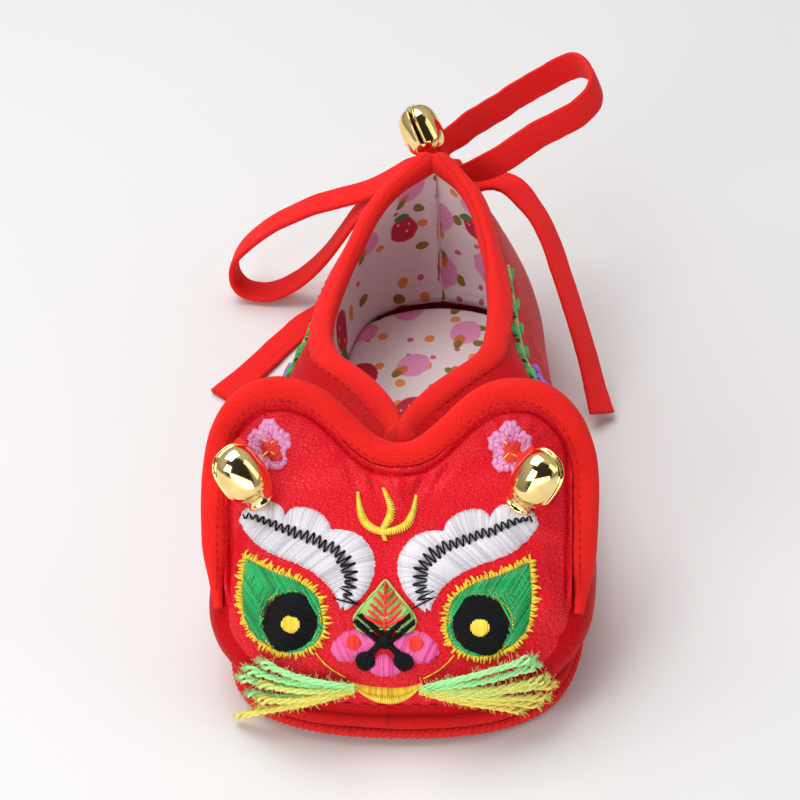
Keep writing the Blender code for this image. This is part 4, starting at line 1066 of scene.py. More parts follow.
def make_eyes():
    chance = np.random.default_rng(4)
    green, gold, light, black, ring = [], [], [], [], []
    for side, edge, pupil in zip((-1, 1), sides(EYE_EDGE), sides([PUPIL])):
        hole = round_outline(pupil[0], (PUPIL_RADIUS - 0.5,) * 2)
        green.append(filled([edge, hole], 90 - 32 * side, 0.40, 0.3, seed=6 + side))
        green.append(filled([edge * 0.9 + pupil[0] * 0.1, hole], 90 + 28 * side, 0.9, 0.3, seed=9 + side))
        black.append(filled([round_outline(pupil[0], (PUPIL_RADIUS,) * 2, 90)], 25 * side, 0.40, 0.08))
        light.append(filled([round_outline(pupil[0] - [0.2 * side, 0.4], (1.75, 2.1))], 90, 0.36, 0.2))
        line = finer(np.concatenate([edge, edge[:1]]), 400)
        stations = along(line)
        count = int(stations[-1] / 0.36)
        at = (np.arange(count) + 0.5) * stations[-1] / count
        spots = np.stack([np.interp(at, stations, line[:, k]) for k in (0, 1)], axis=1)
        ahead = unit(np.roll(spots, -1, axis=0) - np.roll(spots, 1, axis=0))
        out = np.stack([ahead[:, 1], -ahead[:, 0]], axis=1) * side
        tooth = np.abs((at / SPIKE_PITCH) % 1 - 0.5) * 2
        reach = 0.30 + SPIKE_LONG * tooth * chance.uniform(0.5, 1.15, count)
        lean = chance.uniform(-0.6, 0.6, count)[:, None] * ahead
        gold.append(np.stack([spots - 0.35 * out, spots + reach[:, None] * (out + lean)], axis=1))
        rim = round_outline(pupil[0], (PUPIL_RADIUS + 0.15,) * 2, 60)
        ring.append(np.stack([rim, np.roll(rim, -1, axis=0) * 0.75 + rim * 0.25], axis=1)[chance.uniform(size=60) < 0.9])
        thread = finer(sides([(7.6, 8.2), (9.2, 9.0), (11.6, 10.6), (13.6, 12.9)])[(side + 1) // 2], 5)
        ring.append(np.stack([thread[:-1], thread[1:]], axis=1))
    embroider("eye_green", GREEN, [(g, 0.30) for g in green], 2)
    embroider("eye_pupils", BLACK, [(b, 0.55) for b in black], 3)
    embroider("eye_gold_edge", GOLD, [(g, 0.42) for g in gold] + [(r, 0.1, 0.28, 0.16) for r in ring], 4)
    embroider("eye_lights", YELLOW, [(g, 0.35, 0.55) for g in light], 5)


make_eyes()

# The brows are white, in three lobes that curl in towards the nose, with a black zigzag along them.
BROW_LOBES = [
    [(29.5, 38.9), (28.8, 40.6), (27.2, 41.5), (25.2, 42.4), (23.0, 42.4), (21.2, 41.4), (20.2, 39.7)],
    [(20.2, 39.7), (19.2, 40.9), (17.4, 41.4), (15.2, 41.1), (13.2, 40.2), (11.8, 38.8), (11.0, 36.9)],
    [(11.0, 36.9), (9.2, 37.0), (6.8, 36.6), (4.6, 35.3), (2.9, 33.1), (2.1, 30.3), (2.6, 27.3), (4.0, 24.6), (5.8, 22.6), (7.8, 21.2)],
]
BROW_UNDER = [
    (29.7, 38.4), (28.6, 36.6), (27.0, 34.8), (24.5, 32.8), (21.5, 31.4), (17.9, 30.1), (14.5, 28.4), (11.9, 26.4),
    (10.2, 24.4), (9.4, 22.8), (8.8, 21.5),
]
BROW_ZIGZAG = [
    (28.6, 39.5), (26.4, 39.4), (23.3, 38.2), (18.5, 36.4), (13.0, 34.4), (9.0, 32.2), (7.1, 29.6), (6.7, 27.0),
    (7.2, 24.6), (7.9, 22.6),
]
ZIGZAGS, ZIGZAG_TALL = 24, (0.8, 1.2, 1.5, 2.1, 2.5)


def make_brows():
    chance = np.random.default_rng(8)
    white, black = [], []
    for side in (0, 1):
        middle, under = sides(BROW_ZIGZAG)[side], sides(BROW_UNDER)[side]
        long_middle = finer(middle, 300)
        lobes = [finer(sides(lobe)[side], 60) for lobe in BROW_LOBES]
        top = np.concatenate(lobes)
        count = int(along(top)[-1] / 0.36)
        stations = along(top)
        at = np.linspace(0, stations[-1], count)
        edge = np.stack([np.interp(at, stations, top[:, k]) for k in (0, 1)], axis=1)
        share = np.linspace(0, 1, count) ** 0.94 * 299
        root = np.stack([np.interp(share, np.arange(300), long_middle[:, k]) for k in (0, 1)], axis=1)
        rough = chance.uniform(-0.12, 0.12, (count, 1))
        white.append(np.stack([edge + rough * unit(edge - root), root - 0.3 * unit(edge - root)], axis=1))
        count = int(along(finer(under, 200))[-1] / 0.38)
        low = beside(middle, under, count)
        low[:, 1] += chance.uniform(-0.1, 0.15, (count, 1)) * unit(low[:, 1] - low[:, 0])
        white.append(low)
        spots = finer(middle, 2 * ZIGZAGS)
        across = unit(np.gradient(spots, axis=0))[:, ::-1] * [-1, 1]
        tall = np.interp(np.linspace(0, 1, 2 * ZIGZAGS), np.linspace(0, 1, 5), ZIGZAG_TALL)
        tall = tall * chance.uniform(0.65, 1.2, 2 * ZIGZAGS) * (-1) ** np.arange(2 * ZIGZAGS)
        tips = spots + tall[:, None] * across
        black.append(np.stack([tips[:-1], tips[1:]], axis=1))
    embroider("brow_white", WHITE, [(w, 0.55) for w in white], 7)
    embroider("brow_zigzag", BLACK, [(b, 0.12, 0.62, 0.20) for b in black], 8)


make_brows()


# A yellow three-pronged mark stands on the forehead, and a pink flower on each ear.
def column(line, wide, slant=0.35, pitch=PITCH):
    """Stitches across a line, of this width at its start, middle and end."""
    count = max(int(along(np.array(line, float))[-1] / pitch), 3)
    spots = finer(line, count)
    ahead = unit(np.gradient(spots, axis=0))
    across = ahead[:, ::-1] * [-1, 1] + slant * ahead
    half = np.interp(np.linspace(0, 1, count), (0, 0.5, 1), wide)[:, None] / 2
    return np.stack([spots - half * across, spots + half * across], axis=1)


PRONGS = [
    ([(-5.9, 44.1), (-5.6, 42.0), (-5.1, 40.0), (-4.3, 38.4), (-3.0, 37.3), (-0.8, 36.6)], (0.4, 1.6, 1.2)),
    ([(5.6, 43.6), (5.3, 41.6), (4.8, 39.7), (3.8, 38.1), (2.0, 37.1), (-0.5, 36.6)], (0.4, 1.6, 1.2)),
    ([(-0.7, 45.0), (0.2, 43.0), (0.8, 41.0), (0.2, 39.0), (-0.8, 37.0), (-0.4, 35.1)], (0.4, 1.7, 0.7)),
]
EAR_FLOWER, PETAL_REACH, PETAL_HALF = (23.9, 53.4), (2.45, 3.1), (2.05, 2.25)


def make_forehead_and_flowers():
    embroider("forehead_mark", YELLOW, [(column(line, wide, 0.6) + [AXIS_A, 0], 0.9, 0.1) for line, wide in PRONGS], 9)
    pink, dark, red, gold = [], [], [], []
    chance = np.random.default_rng(12)
    for side, (centre,) in enumerate(sides([EAR_FLOWER])):
        for petal in range(5):
            turn = 2 * math.pi * petal / 5 + math.pi / 2
            way = np.array([math.cos(turn), math.sin(turn)])
            hub = centre + way * PETAL_REACH
            rim = round_outline(hub, PETAL_HALF, 34)
            frill = 1.0 + 0.08 * np.sin(np.arange(34) * 1.3 + petal) + chance.uniform(-0.04, 0.04, 34)
            rim = hub + (rim - hub) * frill[:, None]
            middle = hub + (rim - hub) * 0.42
            root = hub - 0.8 * way + (rim - hub) * 0.1
            pink.append(np.stack([middle, rim], axis=1))
            pink.append(np.stack([root, middle + 0.2 * (rim - middle)], axis=1))
            inner = (rim - hub) @ way < 0.6
            dark.append(np.stack([centre + 0.5 * way + (rim - hub)[inner] * 0.15, root[inner] + 0.5 * (middle - root)[inner]], axis=1))
        red.append(filled([round_outline(centre + [0.5, -0.7], (1.9, 2.1), 20) * chance.uniform(0.985, 1.015, (20, 1))], 40, 0.36, 0.5))
        gold.append(np.array([[centre + [-0.3, -0.6], centre + [1.9, -2.1]], [centre + [0.3, -0.5], centre + [-1.5, -2.3]]]))
        gold.append(np.array([[centre + [-0.4, 0.8], centre + [-1.3, 1.4]], [centre + [0.2, 0.4], centre + [0.9, 1.2]]]))
    embroider("ear_flowers", PINK, [(p, 0.30) for p in pink], 10)
    embroider("ear_flower_throats", DEEP_PINK, [(d, 0.2, 0.12) for d in dark], 10)
    embroider("ear_flower_hearts", RED_FLOSS, [(r, 0.4, 0.25) for r in red], 11)
    embroider("ear_flower_threads", YELLOW, [(g, 0.2, 0.6, 0.2) for g in gold], 12)


make_forehead_and_flowers()

# The nose is a light green leaf with red veins over pink cheeks, crossed by black strokes that end in round
# dots. Below it the mouth is a gold crescent, darker along its top.
NOSE_LEAF = [
    (0.0, 27.3), (1.8, 25.2), (3.8, 22.9), (5.6, 20.8), (6.2, 19.3), (5.6, 17.9), (4.2, 17.0), (2.0, 17.4), (0.0, 17.8),
    (-2.0, 17.4), (-4.2, 17.0), (-5.6, 17.9), (-6.2, 19.3), (-5.6, 20.8), (-3.8, 22.9), (-1.8, 25.2),
]
VEINS = [((0, 17.6), (0, 20.0)), ((0, 19.8), (0, 22.4)), ((0, 22.2), (0, 24.6)), ((0, 24.4), (0, 26.8))] + [
    ((0, low), (side * reach, high))
    for side in (-1, 1)
    for low, reach, high in ((18.6, 3.6, 21.6), (20.0, 3.2, 22.8), (21.6, 2.5, 24.0), (23.2, 1.6, 25.0), (18.2, 4.6, 20.4))
]
CHEEK = [(1.6, 15.6), (3.6, 16.6), (5.6, 17.6), (8.2, 16.9), (10.2, 14.9), (10.6, 13.2), (9.0, 11.3), (6.4, 11.0), (3.6, 12.4), (1.8, 14.0)]
CHIN = [(-3.4, 10.4), (-2.6, 9.2), (-0.6, 8.4), (1.6, 8.5), (3.4, 9.6), (3.4, 10.8), (1.6, 11.8), (0.0, 13.0), (-1.8, 11.8)]
MOUTH_TOP = [(-6.3, 7.1), (-3.4, 6.5), (0.4, 6.2), (4.2, 6.4), (7.2, 7.2)]
MOUTH_MIDDLE = [(-6.3, 7.0), (-3.3, 5.3), (0.4, 4.8), (4.1, 5.2), (7.2, 7.1)]
MOUTH_LOW = [(-6.3, 6.9), (-3.1, 4.2), (0.4, 3.3), (4.0, 4.1), (7.2, 7.0)]


def make_nose_and_mouth():
    middle = np.array([AXIS_A, 0])
    leaf = np.array(NOSE_LEAF) + middle
    edge = np.stack([leaf, np.roll(leaf, -1, axis=0)], axis=1)
    embroider("nose_leaf", LEAF, [(filled([leaf], 55, 0.40), 0.25), (edge, 0.4)], 13)
    veins = np.array(VEINS, float) + middle
    cheeks = [filled([cheek], 90 - 25 * side, 0.38, 0.2) for side, cheek in zip((-1, 1), sides(CHEEK))]
    chin = filled([np.array(CHIN) + middle], 90, 0.38, 0.25)
    embroider("nose_cheeks", DEEP_PINK, [(cheeks[0], 0.4), (cheeks[1], 0.4), (chin, 0.35)], 14)
    ovals = [filled([round_outline(spot[0], (1.5, 1.9))], 90, 0.36, 0.1) for spot in sides([(6.1, 14.9)])]
    embroider("nose_red", RED_FLOSS, [(veins, 0.2, 0.38, 0.34), (ovals[0], 0.4, 0.35), (ovals[1], 0.4, 0.35)], 15)
    strokes = []
    for side in (0, 1):
        for shift in (-0.75, 0.75):
            way = np.array([shift * 0.6, shift * 0.8])
            up = sides([np.array([0.3, 15.4]) + way * [-1, 1], np.array([2.8, 17.6]) + way * [-1, 1], np.array([5.3, 19.7]) + way * [-1, 1]])[side]
            strokes.append(column(up, (0.9, 0.9, 0.9), 0.5, 0.4))
        strokes.append(column(sides([(0.0, 15.6), (1.8, 13.8), (3.4, 12.2)])[side], (1.3, 1.2, 1.3), 0.4, 0.4))
        strokes.append(filled([round_outline(sides([(3.75, 11.4)])[side][0], (1.85, 1.85))], 70, 0.38, 0.05))
    strokes.append(filled([round_outline(middle + [0, 15.2], (1.5, 1.3))], 20, 0.38, 0.1))
    embroider("nose_black", BLACK, [(stroke, 0.5, 0.5) for stroke in strokes], 16)
    top, inner, low = (np.array(line) + middle for line in (MOUTH_TOP, MOUTH_MIDDLE, MOUTH_LOW))
    embroider("mouth_gold", GOLD, [(beside(top, inner, 36), 0.7, 0.15)], 17)
    embroider("mouth_yellow", YELLOW, [(beside(inner, low, 36), 0.8, 0.2)], 18)


make_nose_and_mouth()

# Both sides of the upper are embroidered before lasting: a green spray with an olive leaf at its foot, and a
# bunch of purple grapes beside it. Heights and places along the shoe are the same on both sides.
SPRAY_STEM = [(0.0, 32.2), (5.0, 30.6), (10.0, 30.4), (16.0, 31.0), (22.0, 31.6), (28.0, 32.2), (34.0, 33.2), (40.0, 34.6)]
SPRAY_LEAVES = [
    # foot, tip, half width
    ((6.0, 30.6), (9.6, 33.2), 1.3), ((9.0, 30.5), (12.6, 28.4), 1.3), ((12.0, 30.6), (15.8, 33.2), 1.4),
    ((15.4, 31.0), (19.2, 28.8), 1.4), ((18.6, 31.3), (22.6, 33.6), 1.4), ((22.0, 31.6), (26.0, 29.6), 1.3),
    ((25.6, 32.0), (29.6, 34.2), 1.3), ((29.0, 32.3), (33.2, 30.6), 1.2), ((33.0, 33.0), (37.0, 35.2), 1.1),
    ((37.0, 33.8), (41.0, 32.8), 1.0),
]
OLIVE_LEAVES = [((2.0, 31.8), (-3.0, 34.2), 1.3), ((2.0, 31.8), (-3.6, 30.6), 1.2), ((2.6, 31.6), (-0.6, 28.2), 1.2)]
GRAPES = [
    (8.6, 27.6), (11.4, 27.0), (14.2, 26.8), (7.4, 25.2), (10.0, 24.6), (12.8, 24.2), (8.8, 22.4), (11.4, 21.8), (10.2, 19.6), (12.4, 19.4),
]
GRAPE_RADIUS = 1.45


def leaf_outline(foot, tip, half):
    foot, tip = np.array(foot, float), np.array(tip, float)
    share = np.linspace(0, 1, 14)
    across = unit((tip - foot)[None])[0][::-1] * [-1, 1]
    bulge = (half * np.sin(math.pi * share**0.8))[:, None] * across
    spine = foot + share[:, None] * (tip - foot)
    return np.concatenate([spine + bulge, (spine - bulge)[::-1]])


def make_side_sprays():
    count, tall = UPPER_OUT.shape[:2]
    skin = BVHTree.FromPolygons(UPPER_OUT.reshape(-1, 3).tolist(), grid_faces(count, tall, True))
    leaves = np.concatenate([filled([leaf_outline(*leaf)], 80, 0.38) for leaf in SPRAY_LEAVES])
    olive = np.concatenate([filled([leaf_outline(*leaf)], 60, 0.38) for leaf in OLIVE_LEAVES])
    grapes = np.concatenate([filled([round_outline(g, (GRAPE_RADIUS,) * 2, 24)], 20 + 40 * k, 0.36, 0.1) for k, g in enumerate(GRAPES)])
    stem = column(SPRAY_STEM, (0.8, 0.7, 0.4), 0.9, 0.5)
    purple = floss("purple floss", (0.16, 0.03, 0.36), (0.42, 0.14, 0.66))
    green = floss("bright green floss", (0.01, 0.20, 0.04), (0.05, 0.46, 0.12), 0.25)
    pale = floss("olive floss", (0.34, 0.34, 0.06), (0.58, 0.60, 0.18))
    for side, word in ((-1, "left"), (1, "right")):
        for name, segments, colour, padding in (
            ("spray", leaves, green, 0.3), ("stem", stem, pale, 0.2), ("olive_leaves", olive, pale, 0.3), ("grapes", grapes, purple, 0.45),
        ):
            lines, outs, radii = [], [], []
            for start, end in segments:
                line, out = [], []
                for share in np.linspace(0, 1, 6):
                    y, z = start * (1 - share) + end * share
                    place, normal, _, _ = skin.ray_cast(Vector((60.0 * side, y, z)), Vector((-side, 0, 0)))
                    if place is None:
                        break
                    arch = math.sin(math.pi * share) ** 0.55
                    normal = normal if normal.x * side > 0 else -normal
                    line.append(np.array(place + normal * ((0.2 + padding) * arch - 0.2 * (1 - arch))))
                    out.append(np.array(normal))
                if len(line) == 6:
                    lines.append(line)
                    outs.append(out)
            piece = strand_solid(f"side_{name}_{word}", lines, 0.25, np.array(outs), 5, colour, seed=30)
            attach(piece, "root")


make_side_sprays()

# Three claw bells of thin gilt sheet: two shells meet along a slit over a loose pellet, on a short shank.
# One hangs by a red cord at the outer end of each brow, and one stands in the bow at the heel.
EAR_BELLS = {
    "left": ((-26.6, 42.2, 6.4), (-34.2, 53.0, 12.8)),
    "right": ((23.8, 42.0, 6.5), (31.6, 52.4, 12.8)),
}
HEEL_BELL_NECK, HEEL_BELL_TIP = (-0.6, 71.6, 40.4), (-4.4, 76.2, 47.8)
BELL_LENGTH = 13.4
# Half outline of a bell, out from its axis and along it from neck to tip, in shares of its length
BELL_OUTLINE = [
    (0.0, 0.16), (0.165, 0.165), (0.265, 0.20), (0.32, 0.28), (0.345, 0.39), (0.350, 0.52), (0.344, 0.66),
    (0.313, 0.795), (0.247, 0.895), (0.14, 0.966), (0.0, 0.985),
]
SHANK_OUTLINE = [(0.0, -0.3), (2.3, -0.2), (2.8, 0.0), (2.85, 0.35), (2.6, 0.8), (2.6, 1.4), (2.8, 2.0), (3.1, 2.5), (2.9, 2.9), (0.0, 3.1)]
SLIT_WIDE, SLIT_DEEP, LIP = 0.40, 1.5, 0.24
CORD_LOOPS = {
    "left": [(-31.4, 54.0, 9.2), (-29.7, 52.4, 9.8), (-27.2, 49.4, 9.7), (-25.6, 46.6, 9.2), (-25.5, 43.8, 8.2), (-26.4, 42.2, 7.2)],
    "right": [(27.2, 52.8, 9.4), (25.3, 50.9, 9.9), (24.0, 48.1, 9.8), (23.5, 45.3, 9.2), (24.0, 43.1, 8.3), (25.0, 41.6, 7.2)],
}


def turned(outline, foot, axis, around_by):
    """Points turned about an axis from an outline of distances out from and along it, in millimetres."""
    axis = unit(np.array(axis, float))
    u = unit(np.cross(axis, [0.3, 0.5, 0.8]))
    v = np.cross(axis, u)
    ring = np.cos(around_by)[:, None] * u + np.sin(around_by)[:, None] * v
    return np.array(foot) + outline[:, None, 1:] * axis + outline[:, None, :1] * ring[None]


def make_bell(name, neck, tip, slit_way, gilt, dark):
    axis = unit(np.array(tip) - np.array(neck))
    u = unit(slit_way - (slit_way @ axis) * axis)
    v = np.cross(axis, u)
    spread = np.linspace(0, 2 * math.pi, 161)[:-1]
    turn = spread - 0.43 * np.sin(2 * spread)
    outline = finer(np.array(BELL_OUTLINE) * BELL_LENGTH, 110)
    slope = unit(np.gradient(outline, axis=0))
    out, ahead = outline[1:-1, 0], outline[1:-1, 1]
    off = np.abs(out[:, None] * np.sin(turn))
    open_part = rise(ahead / BELL_LENGTH, 0.30, 0.36)[:, None]
    depth = SLIT_DEEP * (1 - rise(off, SLIT_WIDE * 0.75, SLIT_WIDE * 1.1)) * open_part
    lip = LIP * np.exp(-(((off - SLIT_WIDE * 1.5) / 0.22) ** 2)) * open_part
    push = lip - depth
    normal_out, normal_ahead = slope[1:-1, 1], -slope[1:-1, 0]
    new_out = np.maximum(out[:, None] + push * normal_out[:, None], 0.02)
    new_ahead = ahead[:, None] + push * normal_ahead[:, None]
    ring = np.cos(turn)[:, None] * u + np.sin(turn)[:, None] * v
    grid = np.array(neck) + new_ahead[..., None] * axis + new_out[..., None] * ring[None]
    rows, count = grid.shape[:2]
    faces = grid_faces(rows, count, ring_columns=True)
    faces += end_caps(rows, count)
    # Faces deep in the slit take the second material: near-black painted shade for the hollow inside the bell.
    slots = [1 if depth[k // count, k % count] > 0.5 * SLIT_DEEP else 0 for k in range((rows - 1) * count)] + [0, 0]
    bell = solid(name, grid.reshape(-1, 3), faces, [gilt, dark], slots=slots)
    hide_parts(name.replace("_body", ""))
    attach(bell, "root")


def make_bells():
    gilt, tree, shader = new_material("polished gilt", Metallic=1.0, Roughness=0.07)
    where = add_node(tree, "TexCoord")
    rub = add_node(tree, "TexNoise", Vector=where.outputs["Object"], Scale=420.0, Detail=4.0)
    two_tones(tree, shader, rub.outputs[0], (0.94, 0.66, 0.22), (1.0, 0.80, 0.38))
    wear = add_node(tree, "MapRange", i0=rub.outputs[0], i1=0.3, i2=0.8, i3=0.04, i4=0.14)
    tree.links.new(wear.outputs[0], shader.inputs["Roughness"])
    dents = add_node(tree, "TexNoise", Vector=where.outputs["Object"], Scale=130.0, Detail=1.0)
    bump = add_node(tree, "Bump", Height=dents.outputs[0], Distance=0.30 * MM, Strength=0.9)
    tree.links.new(bump.outputs[0], shader.inputs["Normal"])
    # Near-black metal for the slit's groove: painted shade for the dark hollow inside the bell, seen through the slit.
    dark, tree, shader = new_material("painted shade in a bell's slit", Metallic=1.0, Roughness=0.45)
    where = add_node(tree, "TexCoord")
    slit_shade_noise = add_node(tree, "TexNoise", Vector=where.outputs["Object"], Scale=900.0)
    two_tones(tree, shader, slit_shade_noise.outputs[0], (0.05, 0.02, 0.008), (0.16, 0.07, 0.02))
    around_by = 2 * math.pi * np.arange(48) / 48
    for side, (neck, tip) in EAR_BELLS.items():
        sign = -1 if side == "left" else 1
        start, end = (on_chart(*place) for place in (neck, tip))
        slit_way = np.array([sign * 0.85, 0, 0]) + 0.55 * OUT_FACE + 0.25 * UP_FACE
        make_bell(f"ear_bell_{side}_body", start, end, slit_way, gilt, dark)
        outline = finer(SHANK_OUTLINE, 40)[1:-1]
        grid = turned(outline, start, end - start, around_by)
        rows, count = grid.shape[:2]
        faces = grid_faces(rows, count, ring_columns=True)
        faces += end_caps(rows, count)
        shank = solid(f"ear_bell_shank_{side}", grid.reshape(-1, 3), faces, gilt)
        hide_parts(f"ear_bell_cap_{side}")
        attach(shank, "root")
        loop = finer([on_chart(*place) for place in CORD_LOOPS[side]], 40)
        cord = strand_solid(f"ear_bell_cord_{side}", [loop], 1.05, OUT_FACE, 16, BINDING_PLAIN)
        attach(cord, "root")
    loop = finer([(1.6, 71.6, 37.6), (0.6, 71.8, 40.2), (-0.9, 72.4, 42.0), (-2.0, 73.4, 43.4)], 24)
    cord = strand_solid("heel_bell_cord", [loop], 1.1, np.array([1.0, 0.3, 0.2]), 16, BINDING_PLAIN)
    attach(cord, "root")
    make_bell("heel_bell_body", np.array(HEEL_BELL_NECK), np.array(HEEL_BELL_TIP), np.array([-0.4, -0.2, 1.0]), gilt, dark)


BINDING_PLAIN = thread_material("red bell cord", (0.82, 0.012, 0.012), (0.95, 0.026, 0.02), 0.75, gloss=0.15)
make_bells()

# Two bunches of soft two-ply wool yarn, mint above and yellow below, are caught at the ends of the mouth and
# cut short as whiskers. Their cut ends are fluffy.
WHISKER_ROOTS = {"left": (-8.2, -64.9, 14.9), "right": (4.6, -65.0, 14.9)}
# Where each yarn stops, x, y, z, and how green it is
WHISKERS = {
    "left": [
        ((-26.4, -60.8, 17.3), 1.0), ((-29.6, -60.2, 14.6), 1.0), ((-31.3, -59.8, 11.6), 0.9), ((-27.4, -62.0, 12.6), 0.3),
        ((-29.8, -61.0, 8.2), 1.0), ((-27.4, -63.4, 9.2), 0.1), ((-28.6, -62.6, 5.2), 0.0), ((-32.6, -62.2, 2.6), 0.0),
    ],
    "right": [
        ((25.6, -59.6, 18.4), 1.0), ((26.6, -59.4, 16.2), 1.0), ((28.2, -60.2, 13.4), 0.3), ((29.6, -59.8, 11.2), 0.0),
        ((26.0, -61.2, 12.4), 0.6), ((28.4, -60.8, 8.8), 0.1), ((26.6, -61.6, 7.4), 0.0), ((23.6, -62.6, 6.8), 0.0),
    ],
}
YARN_PLY, YARN_TWIST, YARN_BOW = 0.31, 6.5, (0.0, -1.9, 0.9)
FUZZ_HAIRS, FUZZ_LONG = 230, 1.5


def make_whiskers():
    chance = np.random.default_rng(17)
    wool, tree, shader = new_material("whisker wool", Roughness=0.95, Sheen_Weight=0.5, Sheen_Roughness=0.6)
    shader.inputs["Specular IOR Level"].default_value = 0.1
    shade = add_node(tree, "Attribute", attribute_name="shade")
    tone = add_node(tree, "ValToRGB", i0=shade.outputs["Fac"])
    tone.color_ramp.elements[0].color = (0.94, 0.80, 0.12, 1)
    tone.color_ramp.elements[1].color = (0.42, 0.95, 0.38, 1)
    tree.links.new(tone.outputs[0], shader.inputs["Base Color"])
    where = add_node(tree, "TexCoord")
    hairs = add_node(tree, "TexNoise", Vector=where.outputs["Object"], Scale=2600.0, Detail=3.0)
    bump = add_node(tree, "Bump", Height=hairs.outputs[0], Distance=0.08 * MM, Strength=0.8)
    tree.links.new(bump.outputs[0], shader.inputs["Normal"])
    for side, yarns in WHISKERS.items():
        start = np.array(WHISKER_ROOTS[side])
        plies, hairs, ply_green, hair_green = [], [], [], []
        for number, (stop, green) in enumerate(yarns):
            root = start + [0, 0, 1.3 * (0.5 - number / 7)]
            bow = start * 0.4 + np.array(stop) * 0.6 + YARN_BOW + chance.normal(size=3) * [0.3, 0.2, 0.3]
            line = finer([root, bow, stop], 90)
            stations = along(line)
            side_way, up = frames(line, np.array([0, -0.6, 0.8]))
            turn = 2 * math.pi * stations / YARN_TWIST + chance.uniform(0, 6)
            loose = 1 + 1.3 * rise(stations, stations[-1] - 4, stations[-1])
            for ply in (0, 1, 2):
                angle = (turn + 2 * math.pi * ply / 3)[:, None]
                wave = 0.33 * loose[:, None] * (np.cos(angle) * side_way + np.sin(angle) * up)
                plies.append(line + wave + 0.06 * chance.normal(size=line.shape))
                ply_green.append(np.clip(green + chance.uniform(-0.08, 0.08), 0, 1))
            for k in range(FUZZ_HAIRS):
                at = chance.integers(3, 90) if k % 4 else 89
                way = unit(chance.normal(size=3) + (unit((line[89] - line[86])[None])[0] * (2.2 if at > 86 else 0.7)))
                bend = chance.normal(size=3) * 0.35
                share = np.linspace(0, 1, 4)[:, None]
                reach = FUZZ_LONG * chance.uniform(0.4, 1.0)
                hairs.append(line[at] + 0.35 * way + share * reach * way + share**2 * bend)
                hair_green.append(np.clip(green + chance.uniform(-0.1, 0.1), 0, 1))
        yarn_radius = np.full((len(plies), 90), YARN_PLY) * (1 + 0.10 * np.sin(np.arange(90) * 1.9)) * (0.45 + 0.55 * rise(np.arange(90), 0, 22))
        points, faces = tubes(plies, yarn_radius, np.array([0, -0.6, 0.8]), 8)
        shade = np.repeat(ply_green, 90 * 8)
        hair_points, hair_faces = tubes(hairs, 0.045, np.array([0.1, -0.6, 0.8]), 3)
        faces = faces + [tuple(k + len(points) for k in face) for face in hair_faces]
        shade = np.concatenate([shade, np.repeat(hair_green, 4 * 3)])
        tuft = solid(f"whiskers_{side}", np.concatenate([points, hair_points]), faces, wool, shade=shade)
        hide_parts(f"whisker_tuft_{side}")
        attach(tuft, "root")


make_whiskers()

# The ties are red cotton tape, folded double. They are tied in a bow behind the heel: two loops, two cut ends
# and a knot wound round with the same tape, held to the shoe by a tab that is sewn down the heel.
TIE_WIDE, TIE_THICK = 6.6, 1.5
KNOT_MIDDLE, KNOT_SIZE = (1.8, 71.6, 36.4), (7.6, 6.0, 7.0)
HEEL_TAB = [(0.6, 68.0, 26.0), (0.7, 68.3, 30.0), (0.9, 68.5, 34.0), (0.9, 68.4, 38.0), (0.8, 67.8, 42.0)]
